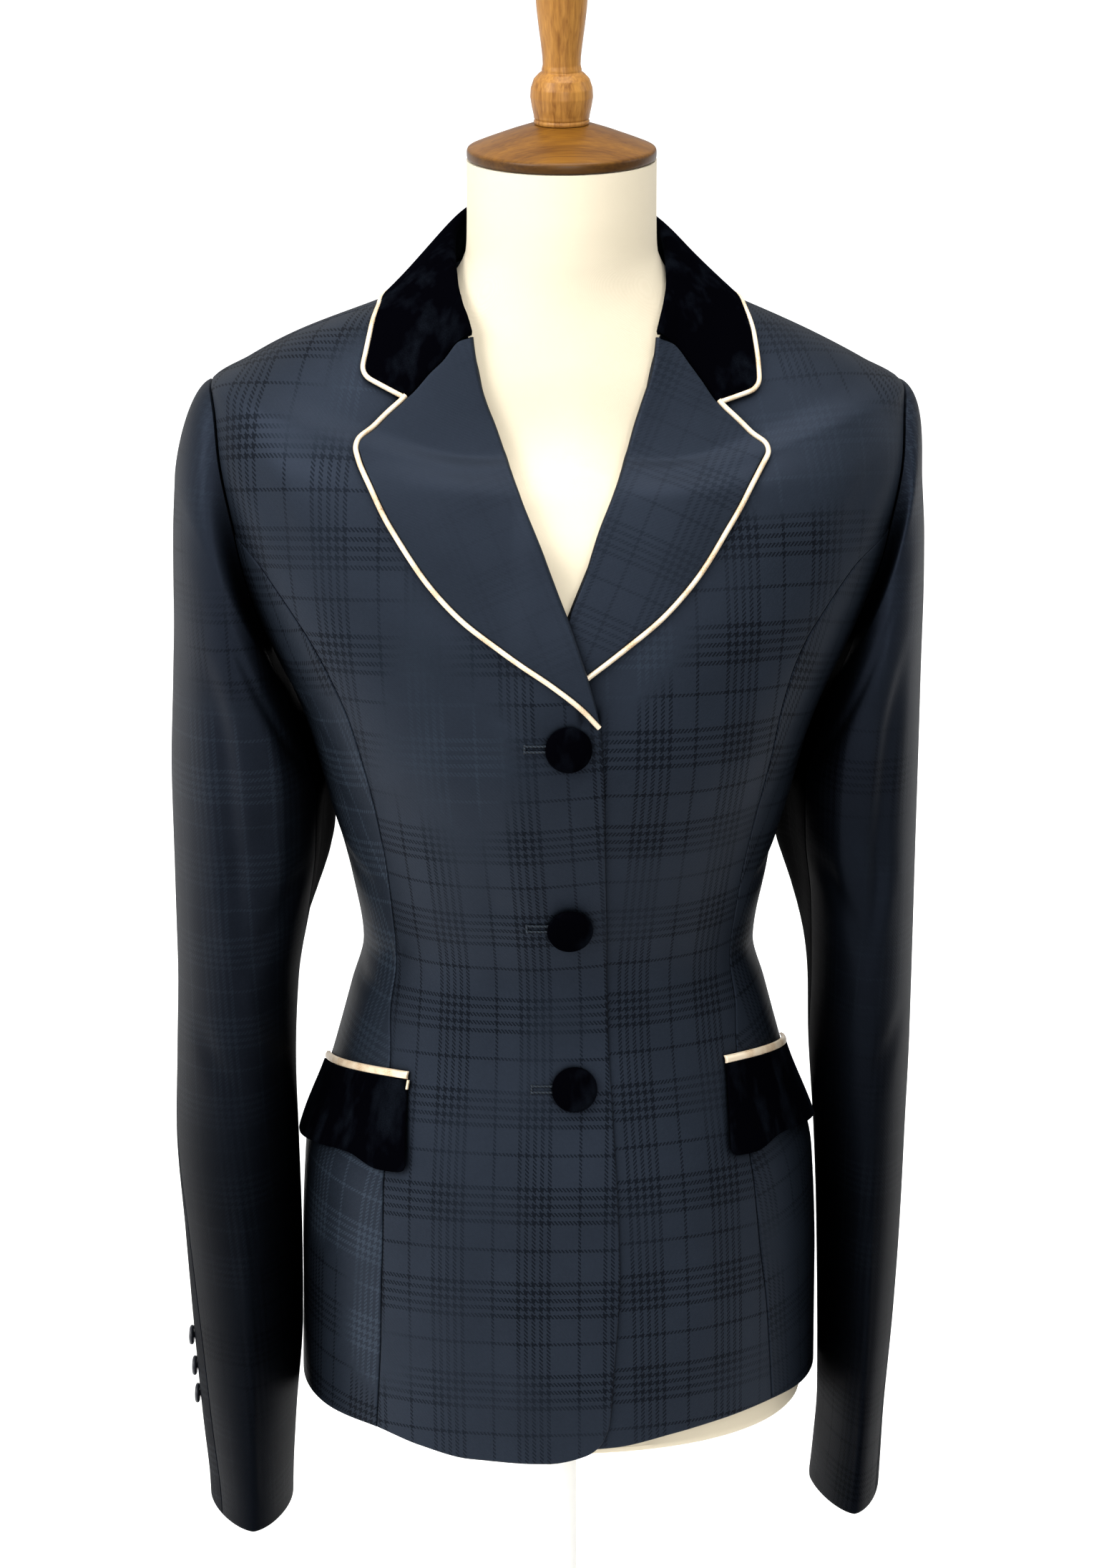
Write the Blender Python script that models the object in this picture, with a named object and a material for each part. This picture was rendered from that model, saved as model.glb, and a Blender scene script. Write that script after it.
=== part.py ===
"""Equestrian show coat, buttoned over a smooth limbless dress form on a pole and base.

The cloth is made the way it is cut and sewn: fronts, side bodies, backs, lapels, collar
and two-piece sleeves, each a wall of its own. Every panel is a patch of one torso
surface, which is named by two measures:

    turn  degrees round the body: 0 at the centre front, negative on the wearer's right
          (the viewer's left), 180 at the centre back
    up    millimetres over the surface from the hem, measured up the side and over the
          shoulder to the neck

Tables are in millimetres and degrees, meshes in metres. The front faces -Y, up is +Z,
and the origin is the middle of the base's underside.
"""

import math

import bmesh
import bpy
import numpy as np

MM = 0.001

# Driving dimensions, in millimetres
CLOTH = 2.0             # wall of every cloth piece
SEAM = 0.3              # free space between two pieces at a seam
LIE = 0.9               # free space under what lies on a panel
LAPEL_EASE = 0.3        # further space under a lapel, where its panel bends
COAT_SHIFT = -2.0       # the coat hangs a little to the wearer's right of the stand's axis
SHOULDER_TILT = 3.0     # how far its left shoulder hangs lower, and its right one higher
BACK_CORNER_SHARE = 0.35    # the shoulders slope less behind than in front
FORM_GAP = 7.5          # from the coat's outer face to the form at the chest
FORM_GAP_HEM = 10.0     # the same at the hem, where the skirt stands away
FORM_GAP_SHOULDER = 12.0    # the same round the shoulder's point, where the padding is
FORM_BOTTOM = 219.0     # underside of the form
NECK_RADIUS = 55.4
NECK_TOP = 956.4
CAP_RIM_Z = 956.8
BUTTON_RADIUS = 13.2
CUFF_BUTTON_RADIUS = 6.0
PIPING_RADIUS = 1.9
WELT_HEIGHT = 4.6
BASE_RADIUS = 150.0
POLE_RADIUS = 9.0

RIGHT, LEFT = -1, 1     # sign of turn, and of x, on the wearer's right and left
SIDE_NAMES = {RIGHT: "right", LEFT: "left"}


class Table:
    """Rows of numbers under named columns, read in between by a smooth monotone curve."""

    def __init__(self, columns, rows):
        self.columns = columns.split()
        values = np.array([row[-len(self.columns):] for row in rows], float)
        self.key = values[:, 0]
        self.values = {name: values[:, i] for i, name in enumerate(self.columns)}
        self.slopes = {name: self._slopes(v) for name, v in self.values.items()}

    def _slopes(self, values):
        step = np.diff(self.key)
        rate = np.diff(values) / step
        slopes = np.empty_like(values)
        slopes[0], slopes[-1] = rate[0], rate[-1]
        for i in range(1, len(values) - 1):
            before, after = rate[i - 1], rate[i]
            if before * after <= 0:
                slopes[i] = 0.0
                continue
            weight_a = 2 * step[i] + step[i - 1]
            weight_b = step[i] + 2 * step[i - 1]
            slopes[i] = (weight_a + weight_b) / (weight_a / before + weight_b / after)
        return slopes

    def read(self, name, key):
        """The column's value at a key, held at the ends."""
        key = min(max(key, self.key[0]), self.key[-1])
        i = min(max(int(np.searchsorted(self.key, key)) - 1, 0), len(self.key) - 2)
        step = self.key[i + 1] - self.key[i]
        t = (key - self.key[i]) / step
        values, slopes = self.values[name], self.slopes[name]
        return ((2 * t ** 3 - 3 * t ** 2 + 1) * values[i]
                + (t ** 3 - 2 * t ** 2 + t) * step * slopes[i]
                + (3 * t ** 2 - 2 * t ** 3) * values[i + 1]
                + (t ** 3 - t ** 2) * step * slopes[i + 1])


# The torso's sections, from the hem up the side, over the shoulder and to the neck.
# Each is a rounded oval: half width, depth in front and behind, how much higher its
# front and back run than its side, how far its four corners drop, and its squareness.
TORSO_ROWS = [
    # name          side z   half    front   back   front   back  corner  square
    ("hem",          222.0, 152.5, 124.0, 120.0,   -3.0,   0.0,    0.0, 2.20),
    ("low hip",      300.0, 152.5, 121.0, 123.0,    0.0,   0.0,    0.0, 2.20),
    ("hip",          370.0, 149.8, 115.0, 121.0,    0.0,   0.0,    0.0, 2.20),
    ("high hip",     430.0, 132.0, 105.0, 104.0,    0.0,   0.0,    0.0, 2.20),
    ("below waist",  471.0, 121.0,  98.0,  88.0,    0.0,   0.0,    0.0, 2.20),
    ("waist",        500.0, 113.6,  97.0,  82.0,    0.0,   0.0,    0.0, 2.20),
    ("ribs",         542.0, 120.0, 106.0,  86.0,    0.0,   0.0,    0.0, 2.25),
    ("under bust",   590.0, 132.8, 118.0,  94.0,    0.0,   0.0,    0.0, 2.30),
    ("bust",         640.0, 146.5, 127.0, 101.0,    0.0,   0.0,    0.0, 2.40),
    ("chest",        697.0, 172.0, 122.0, 105.0,    0.0,   0.0,    0.0, 2.45),
    ("armhole",      746.0, 190.0, 110.0, 105.0,    0.0,   0.0,    0.0, 2.50),
    ("upper chest",  795.0, 199.5,  97.0, 100.0,  -14.0,  -9.0,   -4.0, 2.45),
    ("shoulder",     827.0, 197.0,  86.0,  93.0,  -28.0, -19.0,  -16.0, 2.20),
    ("mid shoulder", 841.5, 176.0,  77.0,  85.0,  -30.0, -18.0,  -22.0, 2.10),
    ("near neck",    856.5, 148.0,  69.0,  80.0,  -26.0, -11.0,  -22.0, 2.05),
    ("neck slope",   873.5, 107.0,  62.0,  75.0,  -16.0,  -1.0,  -12.0, 2.00),
    ("neck",         887.0,  70.0,  58.0,  70.0,   -5.0,   8.0,    0.0, 2.00),
]


def measure_up_the_side(rows):
    """Put the distance walked up the side before each row."""
    measured, up, last = [], 0.0, None
    for row in rows:
        side_z, half_width = row[1], row[2]
        if last:
            up += math.hypot(side_z - last[0], half_width - last[1])
        last = (side_z, half_width)
        measured.append((up,) + row[1:])
    return measured


TORSO = Table("up z half front back front_rise back_rise corner square",
              measure_up_the_side(TORSO_ROWS))
NECK_UP = TORSO.key[-1]


def smooth(value, start, end):
    """0 before start, 1 after end, with soft ends."""
    t = min(max((value - start) / (end - start), 0.0), 1.0)
    return t * t * (3 - 2 * t)


def torso_point(turn, up):
    """A point of the coat's outer face, in millimetres."""
    row = {name: TORSO.read(name, up) for name in TORSO.columns[1:]}
    sine, cosine = math.sin(math.radians(turn)), math.cos(math.radians(turn))
    in_front = cosine > 0
    depth = row["front"] if in_front else row["back"]
    rise = row["front_rise"] if in_front else row["back_rise"]
    square = row["square"]
    radius = (abs(sine / row["half"]) ** square + abs(cosine / depth) ** square) ** (-1 / square)
    corner = row["corner"] * (1.0 if in_front else BACK_CORNER_SHARE)
    height = row["z"] + rise * cosine ** 2 + corner * (2 * sine * cosine) ** 2
    height -= SHOULDER_TILT * sine * smooth(up, 470.0, 620.0) * (1 - smooth(up, 660.0, 750.0))
    return np.array([radius * sine, -radius * cosine, height])


def torso(turn, up, out=0.0):
    """The point that lies a distance out from the coat's outer face."""
    point = torso_point(turn, up)
    if out:
        step_turn, step_up = 0.4, 1.0
        low, high = max(up - step_up, 0.0), min(up + step_up, NECK_UP)
        along = torso_point(turn + step_turn, up) - torso_point(turn - step_turn, up)
        upward = torso_point(turn, high) - torso_point(turn, low)
        normal = np.cross(along, upward)
        point = point + normal / np.linalg.norm(normal) * out
    return point + np.array([COAT_SHIFT, 0.0, 0.0])


def seam_turn(turn, up, toward, gap=SEAM / 2):
    """A turn moved by half a seam's gap towards the panel that it ends."""
    point = torso_point(turn, up)
    reach = math.hypot(point[0], point[1])
    return turn + math.copysign(math.degrees(gap / reach), toward)


# Meshes

def new_material(name, hex_color, roughness, metallic=0.0):
    material = bpy.data.materials.new(name)
    material.use_nodes = True
    shader = material.node_tree.nodes["Principled BSDF"]
    channels = [int(hex_color[i:i + 2], 16) / 255 for i in (0, 2, 4)]
    linear = [c / 12.92 if c <= 0.04045 else ((c + 0.055) / 1.055) ** 2.4 for c in channels]
    shader.inputs["Base Color"].default_value = (*linear, 1.0)
    shader.inputs["Roughness"].default_value = roughness
    shader.inputs["Metallic"].default_value = metallic
    material.diffuse_color = (*linear, 1.0)
    return material


def add_object(name, verts, faces, material):
    """An object from vertices in millimetres, its faces turned outwards."""
    mesh = bpy.data.meshes.new(name)
    build = bmesh.new()
    made = [build.verts.new(tuple(float(c) * MM for c in v)) for v in verts]
    for face in faces:
        build.faces.new([made[i] for i in face])
    bmesh.ops.recalc_face_normals(build, faces=build.faces)
    if build.calc_volume(signed=True) < 0:
        bmesh.ops.reverse_faces(build, faces=build.faces)
    build.to_mesh(mesh)
    build.free()
    mesh.materials.append(material)
    mesh.shade_smooth()
    mesh.set_sharp_from_angle(angle=math.radians(40))
    thing = bpy.data.objects.new(name, mesh)
    bpy.context.scene.collection.objects.link(thing)
    return thing


def wall(name, outer, inner, material, closed=False):
    """A closed wall between two grids of points, open or closed across its columns."""
    rows, columns = len(outer), len(outer[0])
    verts = [p for row in outer for p in row] + [p for row in inner for p in row]
    half = rows * columns
    last = columns if closed else columns - 1
    faces = []
    for r in range(rows - 1):
        for c in range(last):
            a, b = r * columns + c, r * columns + (c + 1) % columns
            d, e = a + columns, b + columns
            faces.append((a, b, e, d))
            faces.append((half + a, half + d, half + e, half + b))
    for r in (0, rows - 1):
        for c in range(last):
            a, b = r * columns + c, r * columns + (c + 1) % columns
            faces.append((a, half + a, half + b, b))
    if not closed:
        for c in (0, columns - 1):
            for r in range(rows - 1):
                a, b = r * columns + c, (r + 1) * columns + c
                faces.append((a, b, half + b, half + a))
    return add_object(name, verts, faces, material)


def panel(name, places, material):
    """A cloth wall from a grid of places (turn, up, out) on the torso."""
    outer = [[torso(t, u, o) for t, u, o in row] for row in places]
    inner = [[torso(t, u, o - CLOTH) for t, u, o in row] for row in places]
    return wall(name, outer, inner, material)


def unit(vector):
    return vector / np.linalg.norm(vector)


def inward_copy(grid, thickness, closed):
    """The grid moved to its inner side by a thickness, along its own normals."""
    grid = np.array(grid)
    across = np.empty_like(grid)
    if closed:
        across[:] = np.roll(grid, -1, axis=1) - np.roll(grid, 1, axis=1)
    else:
        across[:, 1:-1] = grid[:, 2:] - grid[:, :-2]
        across[:, 0] = grid[:, 1] - grid[:, 0]
        across[:, -1] = grid[:, -1] - grid[:, -2]
    down = np.empty_like(grid)
    down[1:-1] = grid[2:] - grid[:-2]
    down[0] = grid[1] - grid[0]
    down[-1] = grid[-1] - grid[-2]
    normal = np.cross(across, down)
    normal /= np.linalg.norm(normal, axis=2, keepdims=True)
    return grid + normal * thickness


def turned(name, profile, segments, material, centre=(0, 0, 0), axis=(0, 0, 1)):
    """A closed solid of revolution. The profile runs (radius, height) from bottom to top."""
    axis = unit(np.array(axis, float))
    side = np.cross(axis, (0.0, 0.0, 1.0))
    side = unit(side) if np.linalg.norm(side) > 1e-6 else np.array([1.0, 0.0, 0.0])
    other = np.cross(axis, side)
    centre = np.array(centre, float)
    verts, faces = [], []
    for radius, height in profile:
        for k in range(segments):
            angle = 2 * math.pi * k / segments
            spoke = side * math.cos(angle) + other * math.sin(angle)
            verts.append(centre + spoke * radius + axis * height)
    for r in range(len(profile) - 1):
        for k in range(segments):
            a, b = r * segments + k, r * segments + (k + 1) % segments
            faces.append((a, b, b + segments, a + segments))
    faces.append(tuple(range(segments)))
    top = (len(profile) - 1) * segments
    faces.append(tuple(top + k for k in range(segments)))
    return add_object(name, verts, faces, material)


def tube(name, path, radius, sides, material):
    """A closed tube along a path, whose ring is turned to lie along the path's bends."""
    path = np.array(path, float)
    tangents = np.gradient(path, axis=0)
    reference = np.array([0.0, 0.0, 1.0])
    verts, faces = [], []
    for point, tangent in zip(path, tangents):
        tangent = unit(tangent)
        side = np.cross(tangent, reference)
        side = unit(side) if np.linalg.norm(side) > 1e-6 else np.array([1.0, 0.0, 0.0])
        other = np.cross(side, tangent)
        reference = other
        for k in range(sides):
            angle = 2 * math.pi * (k + 0.5) / sides
            verts.append(point + side * radius * math.cos(angle)
                         + other * radius * math.sin(angle))
    for r in range(len(path) - 1):
        for k in range(sides):
            a, b = r * sides + k, r * sides + (k + 1) % sides
            faces.append((a, b, b + sides, a + sides))
    faces.append(tuple(range(sides)))
    faces.append(tuple((len(path) - 1) * sides + k for k in range(sides)))
    return add_object(name, verts, faces, material)


# Seams and edges, a row per place up the body, one column of turns for each side

PRINCESS_ROWS = [
    # up    right   left
    (0.0,   51.5,  55.5),
    (64.0,  50.5,  54.0),
    (112.0, 50.7,  52.3),
    (163.0, 51.9,  51.8),
    (228.0, 56.8,  55.0),
    (270.0, 60.8,  59.0),
    (326.0, 56.8,  55.5),
    (365.0, 53.9,  53.2),
    (402.0, 53.1,  52.6),
    (444.0, 54.7,  52.3),
    (470.0, 57.2,  53.3),
    (492.0, 60.5,  55.9),
    (509.0, 64.2,  59.8),
    (524.0, 68.0,  63.8),
    (536.0, 71.5,  68.0),
    (548.0, 77.5,  77.5),
]
BACK_PRINCESS_ROWS = [
    # up    turn
    (0.0,   130.0),
    (150.0, 129.0),
    (270.0, 126.0),
    (400.0, 126.5),
    (470.0, 122.0),
    (515.0, 115.0),
    (548.0, 105.5),
]
# Inner edge of each front: rounded hem corner, front edge, roll line, then neckline.
# Turns are signed here, so the right front's edge lies past the centre.
FRONT_EDGE_ROWS = [
    # up     right   left
    (0.0,    -6.0,   -9.0),
    (2.0,    -0.5,   -9.0),
    (6.0,     5.0,   -9.0),
    (13.0,    8.2,   -9.0),
    (23.0,    9.8,   -9.0),
    (53.0,   11.0,   -9.0),
    (114.0,  13.0,   -9.0),
    (187.0,  12.8,   -9.0),
    (272.0,  12.4,   -9.0),
    (366.0,   9.0,   -9.0),
    (413.0,   7.6,   -9.0),
    (448.0,   6.6,   -9.0),
    (480.0,   3.7,   -7.0),
    (513.0,  -2.1,   -2.1),
    (562.0, -11.4,    8.2),
    (595.0, -17.0,   13.9),
    (645.0, -25.0,   23.6),
    (694.0, -35.0,   33.8),
    (738.0, -46.0,   46.3),
    (752.0, -57.0,   57.0),
    (NECK_UP, -80.0, 80.0),
]
HEM_RISE_ROWS = [
    # turn  right  left
    (-30.0,  0.0,   7.0),
    (0.0,    0.0,   7.0),
    (11.0,   0.0,   7.5),
    (27.0,   0.0,  12.0),
    (40.0,   4.0,  14.8),
    (54.0,   9.0,  16.3),
    (70.0,   8.0,  14.0),
    (90.0,   8.0,  12.0),
    (120.0,  5.0,   7.0),
    (180.0,  1.0,   1.0),
]
HEM_FADE = 160.0        # height over which the hem's rise dies away

PRINCESS = Table("up right left", PRINCESS_ROWS)
BACK_PRINCESS = Table("up turn", BACK_PRINCESS_ROWS)
FRONT_EDGE = Table("up right left", FRONT_EDGE_ROWS)
HEM_RISE = Table("turn right left", HEM_RISE_ROWS)

# The armhole is an oval on the torso, cut in even steps so that sleeve and panels meet
ARMHOLE_TURN = 91.5
ARMHOLE_HALF_TURN = 14.0
ARMHOLE_UP = 548.0
ARMHOLE_HALF_UP = 80.0
ARMHOLE_STEPS = 20
QUARTER = ARMHOLE_STEPS // 4


def armhole(side, step, inset=0.0):
    """Turn and up of one step of the armhole: 0 at the shoulder, then round the front."""
    angle = 2 * math.pi * step / ARMHOLE_STEPS
    reach = ARMHOLE_HALF_UP - inset
    turn_inset = math.degrees(inset / 195.0)
    turn = ARMHOLE_TURN - (ARMHOLE_HALF_TURN - turn_inset) * math.sin(angle)
    return side * turn, ARMHOLE_UP + reach * math.cos(angle)


def hem_rise(side, turn, up):
    """How much higher a place lies than its table says, because the hem rises there."""
    inward_turn = turn * side
    return HEM_RISE.read(SIDE_NAMES[side], inward_turn) * max(0.0, 1 - up / HEM_FADE)


ARMHOLE_FRONT_LEVELS = [armhole(LEFT, k)[1] for k in range(QUARTER, -1, -1)]
SHOULDER_LEVELS = [648.0, 670.0, 693.0, 714.0, 731.0, 743.0, 753.0, NECK_UP]
BODY_LEVELS = [45.0, 88.0, 128.0, 163.0, 195.0, 225.0, 253.0, 280.0, 310.0, 342.0, 376.0,
               408.0, 436.0, 462.0, 487.0, 510.0, 531.0]
HEM_CORNER_LEVELS = [0.0, 2.0, 6.0, 13.0, 24.0]

# The right front lies over the left one from a little before the centre
LAP_START, LAP_FULL = -25.0, -10.5
LAP_OUT = CLOTH + SEAM
# It stands off further where the left lapel runs in under it
LAPEL_LAP_START, LAPEL_LAP_FULL = -19.0, -8.0
LAPEL_LAP_LOW, LAPEL_LAP_HIGH = 425.0, 470.0


def front_out(side, turn, up):
    """How far the outer face of a front stands off the torso's surface."""
    if side == LEFT:
        return 0.0
    lap = LAP_OUT * smooth(turn, LAP_START, LAP_FULL)
    over_lapel = (smooth(turn, LAPEL_LAP_START, LAPEL_LAP_FULL)
                  * smooth(up, LAPEL_LAP_LOW, LAPEL_LAP_HIGH))
    return lap + (CLOTH + LIE + 0.5) * over_lapel


def front_side_turn(side, up):
    """Outer boundary of a front: princess seam, armhole, then shoulder seam."""
    if up <= ARMHOLE_UP:
        turn = PRINCESS.read(SIDE_NAMES[side], up)
        return seam_turn(side * turn, up, -side)
    if up < ARMHOLE_UP + ARMHOLE_HALF_UP:
        level = (up - ARMHOLE_UP) / ARMHOLE_HALF_UP
        return side * (ARMHOLE_TURN - ARMHOLE_HALF_TURN * math.sqrt(1 - level ** 2))
    return seam_turn(side * ARMHOLE_TURN, up, -side)


def front_places(side, columns=10):
    """Grid of a front, from its outer boundary to its inner edge, hem to neck."""
    hem_levels = HEM_CORNER_LEVELS if side == RIGHT else [0.0]
    levels = hem_levels + BODY_LEVELS + ARMHOLE_FRONT_LEVELS + SHOULDER_LEVELS
    places = []
    for up in levels:
        outer = front_side_turn(side, up)
        edge = FRONT_EDGE.read(SIDE_NAMES[side], up)
        row = []
        for c in range(columns):
            turn = outer + (edge - outer) * c / (columns - 1)
            high = up + hem_rise(side, turn, up)
            row.append((turn, high, front_out(side, turn, up)))
        places.append(row)
    return places


def side_places(side):
    """Grid of a side body, a patch between two princess seams under the armhole."""
    columns = 2 * QUARTER
    top_steps = [QUARTER + k for k in range(columns + 1)]
    top = [armhole(side, k) for k in top_steps]
    places = []
    for up in [0.0] + BODY_LEVELS + [ARMHOLE_UP]:
        v = up / ARMHOLE_UP
        front = seam_turn(side * PRINCESS.read(SIDE_NAMES[side], up), up, side)
        back = seam_turn(side * BACK_PRINCESS.read("turn", up), up, -side)
        row = []
        for c in range(columns + 1):
            u = c / columns
            edge_turn = front + (back - front) * u
            straight = ((1 - u) * top[0][0] + u * top[-1][0], ARMHOLE_UP)
            turn = edge_turn + v ** 2 * (top[c][0] - straight[0])
            high = up + v ** 2 * (top[c][1] - straight[1])
            row.append((turn, high + hem_rise(side, turn, up), 0.0))
        places.append(row)
    return places


def back_places(side, columns=7):
    """Grid of a back, from its outer boundary to the centre back seam."""
    levels = [0.0] + BODY_LEVELS + ARMHOLE_FRONT_LEVELS + SHOULDER_LEVELS
    places = []
    for up in levels:
        if up < ARMHOLE_UP:
            outer = seam_turn(side * BACK_PRINCESS.read("turn", up), up, side)
        elif up < ARMHOLE_UP + ARMHOLE_HALF_UP:
            level = (up - ARMHOLE_UP) / ARMHOLE_HALF_UP
            outer = side * (ARMHOLE_TURN + ARMHOLE_HALF_TURN * math.sqrt(1 - level ** 2))
        else:
            outer = seam_turn(side * ARMHOLE_TURN, up, side)
        centre = seam_turn(side * 180.0, up, -side)
        row = []
        for c in range(columns):
            turn = outer + (centre - outer) * c / (columns - 1)
            row.append((turn, up + hem_rise(side, turn, up), 0.0))
        places.append(row)
    return places


# Lapels: share of the way down the roll line, place on the roll, place on the outer edge
LAPEL_ROWS = {
    RIGHT: [
        # share  roll turn  roll up  edge turn  edge up
        (0.00,   -46.4,     742.0,   -58.2,     628.0),
        (0.10,   -40.0,     712.0,   -56.2,     613.5),
        (0.22,   -32.5,     681.0,   -51.4,     593.5),
        (0.35,   -25.0,     645.0,   -46.3,     568.0),
        (0.48,   -18.5,     604.0,   -39.2,     539.5),
        (0.60,   -11.4,     562.0,   -29.8,     513.6),
        (0.72,    -5.2,     529.0,   -18.5,     496.1),
        (0.84,    -0.2,     502.0,    -7.1,     475.4),
        (0.94,     3.9,     472.0,     1.6,     460.5),
        (1.00,     6.0,     455.0,     5.6,     452.0),
    ],
    LEFT: [
        (0.00,    46.2,     740.0,    56.8,     630.0),
        (0.10,    41.0,     718.0,    54.0,     614.5),
        (0.22,    33.8,     694.0,    48.9,     594.0),
        (0.35,    23.6,     646.0,    43.0,     569.0),
        (0.48,    16.2,     604.0,    35.6,     541.5),
        (0.60,    10.2,     573.0,    24.5,     515.1),
        (0.72,     4.6,     540.0,    14.0,     495.7),
        (0.84,    -0.3,     518.0,     3.7,     480.1),
        (0.94,    -2.6,     506.0,    -2.0,     470.0),
        (1.00,    -4.4,     500.0,    -4.0,     465.0),
    ],
}
# The gorge seam, from the roll to the notch, where the lapel's top edge starts
GORGE_ROWS = {
    RIGHT: [
        # share  turn   up
        (0.00,  -46.4,  742.0),
        (0.18,  -50.3,  734.8),
        (0.42,  -52.5,  720.6),
        (0.68,  -55.3,  704.9),
        (1.00,  -57.2,  682.1),
    ],
    LEFT: [
        (0.00,   46.2,  740.0),
        (0.18,   51.0,  730.6),
        (0.42,   53.0,  717.1),
        (0.68,   54.9,  700.2),
        (1.00,   55.8,  683.5),
    ],
}
GORGES = {side: Table("share turn up", rows) for side, rows in GORGE_ROWS.items()}
LAPEL_SPRING = 2.2      # how far a lapel stands off between its roll and its edge
LAPEL_COLUMNS = 9
LAPEL_SHARES = [0.0, 0.06, 0.13, 0.21, 0.30, 0.39, 0.48, 0.57, 0.66, 0.75, 0.83, 0.90,
                0.96, 1.0]
LAPEL_TOP_BOW = 0.7     # degrees that its top edge bows out between notch and point
NOTCH_COLUMN = 6        # the column of the lapel's top row that lies at the notch
PIPING_END = {RIGHT: 1.0, LEFT: 0.84}   # the left one ends where it meets the right front


def lapel_places(side):
    """Grid of a lapel, from its roll line to its outer edge, neck to break."""
    table = Table("share roll_turn roll_up edge_turn edge_up", LAPEL_ROWS[side])
    gorge = GORGES[side]
    notch = (gorge.read("turn", 1), gorge.read("up", 1))
    edge = (table.read("edge_turn", 0), table.read("edge_up", 0))
    last = LAPEL_COLUMNS - 1
    top = []
    for c in range(LAPEL_COLUMNS):
        if c <= NOTCH_COLUMN:
            share = c / NOTCH_COLUMN
            top.append((gorge.read("turn", share), gorge.read("up", share)))
        else:
            t = (c - NOTCH_COLUMN) / (last - NOTCH_COLUMN)
            bow = side * LAPEL_TOP_BOW * math.sin(math.pi * t)
            top.append((notch[0] + (edge[0] - notch[0]) * t + bow,
                        notch[1] + (edge[1] - notch[1]) * t))
    places = []
    for share in LAPEL_SHARES:
        row = []
        for c in range(LAPEL_COLUMNS):
            u = c / last
            turn = table.read("roll_turn", share) * (1 - u) + table.read("edge_turn", share) * u
            up = table.read("roll_up", share) * (1 - u) + table.read("edge_up", share) * u
            plain_turn = table.read("roll_turn", 0) * (1 - u) + table.read("edge_turn", 0) * u
            plain_up = table.read("roll_up", 0) * (1 - u) + table.read("edge_up", 0) * u
            fade = max(0.0, 1 - share / 0.45) ** 2
            turn += fade * (top[c][0] - plain_turn)
            up += fade * (top[c][1] - plain_up)
            spring = LAPEL_SPRING * math.sin(math.pi * u) * (1 - smooth(share, 0.4, 0.7))
            row.append((turn, up, front_out(side, turn, up) + LIE + LAPEL_EASE + CLOTH
                        + spring))
        places.append(row)
    return places


# Collar, a row per station from the wearer's right end round the back to the left end:
# where its neck seam lies, the fold's place in space, where its leaf's edge lies
COLLAR_ROWS = [
    # station seam turn  fold x  fold y  fold z  leaf turn  leaf up
    (0.0,     -48.0,     -55.0,  -49.5,  877.5,   -66.8,    685.0),
    (1.0,     -56.0,     -57.5,  -42.0,  882.0,   -70.0,    698.5),
    (2.0,     -68.0,     -60.0,  -27.0,  892.5,   -74.6,    714.0),
    (3.0,     -84.0,     -60.5,   -8.0,  903.0,   -85.0,    731.0),
    (4.0,    -104.0,     -59.0,   16.0,  913.0,  -103.0,    737.0),
    (5.0,    -130.0,     -48.0,   43.0,  922.5,  -130.0,    736.0),
    (6.0,    -158.0,     -23.0,   61.0,  926.5,  -158.0,    734.0),
    (7.0,    -180.0,       0.0,   66.0,  927.5,  -180.0,    733.0),
    (8.0,    -202.0,      23.0,   61.0,  926.5,  -202.0,    734.0),
    (9.0,    -230.0,      48.0,   43.0,  922.5,  -230.0,    736.0),
    (10.0,   -256.0,      60.0,   16.0,  914.0,  -257.0,    736.0),
    (11.0,   -276.0,      61.5,   -8.0,  904.0,  -275.5,    729.5),
    (12.0,   -292.0,      61.0,  -27.0,  893.0,  -286.7,    710.5),
    (13.0,   -304.0,      58.0,  -42.0,  882.0,  -291.5,    694.0),
    (14.0,   -312.0,      55.0,  -49.5,  876.0,  -295.2,    681.0),
]
COLLAR_COLUMNS = "station seam fold_x fold_y fold_z leaf_turn leaf_up"
COLLAR_STATIONS = 24
COLLAR_FALL_COLUMNS = 7
COLLAR_SPLIT = 5 / 7    # share of the collar's front end that is sewn along the gorge
COLLAR_CLEAR_TURN, COLLAR_CLEAR_UP = 1.1, 2.0   # from the gorge to the collar's end
COLLAR_BULGE = 4.5      # how far the leaf is rounded between its fold and its edge
COLLAR_END_REACH = 6    # grid rows over which an end's shape fades into the collar
FOLD_RADIUS = 2.6
STAND_INSET = 2.5       # how far inside the neckline the collar's stand rises


def collar_end_turn_up(side, share):
    """A place on the collar's front end: along the gorge, then its free edge."""
    gorge = GORGES[side]
    along = min(share / COLLAR_SPLIT, 1.0)
    place = (gorge.read("turn", along) + side * COLLAR_CLEAR_TURN,
             gorge.read("up", along) + COLLAR_CLEAR_UP)
    if share <= COLLAR_SPLIT:
        return place
    t = (share - COLLAR_SPLIT) / (1 - COLLAR_SPLIT)
    corner = (-66.8, 685.0) if side == RIGHT else (64.8, 681.0)
    return tuple(place[i] + (corner[i] - place[i]) * t for i in (0, 1))


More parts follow.
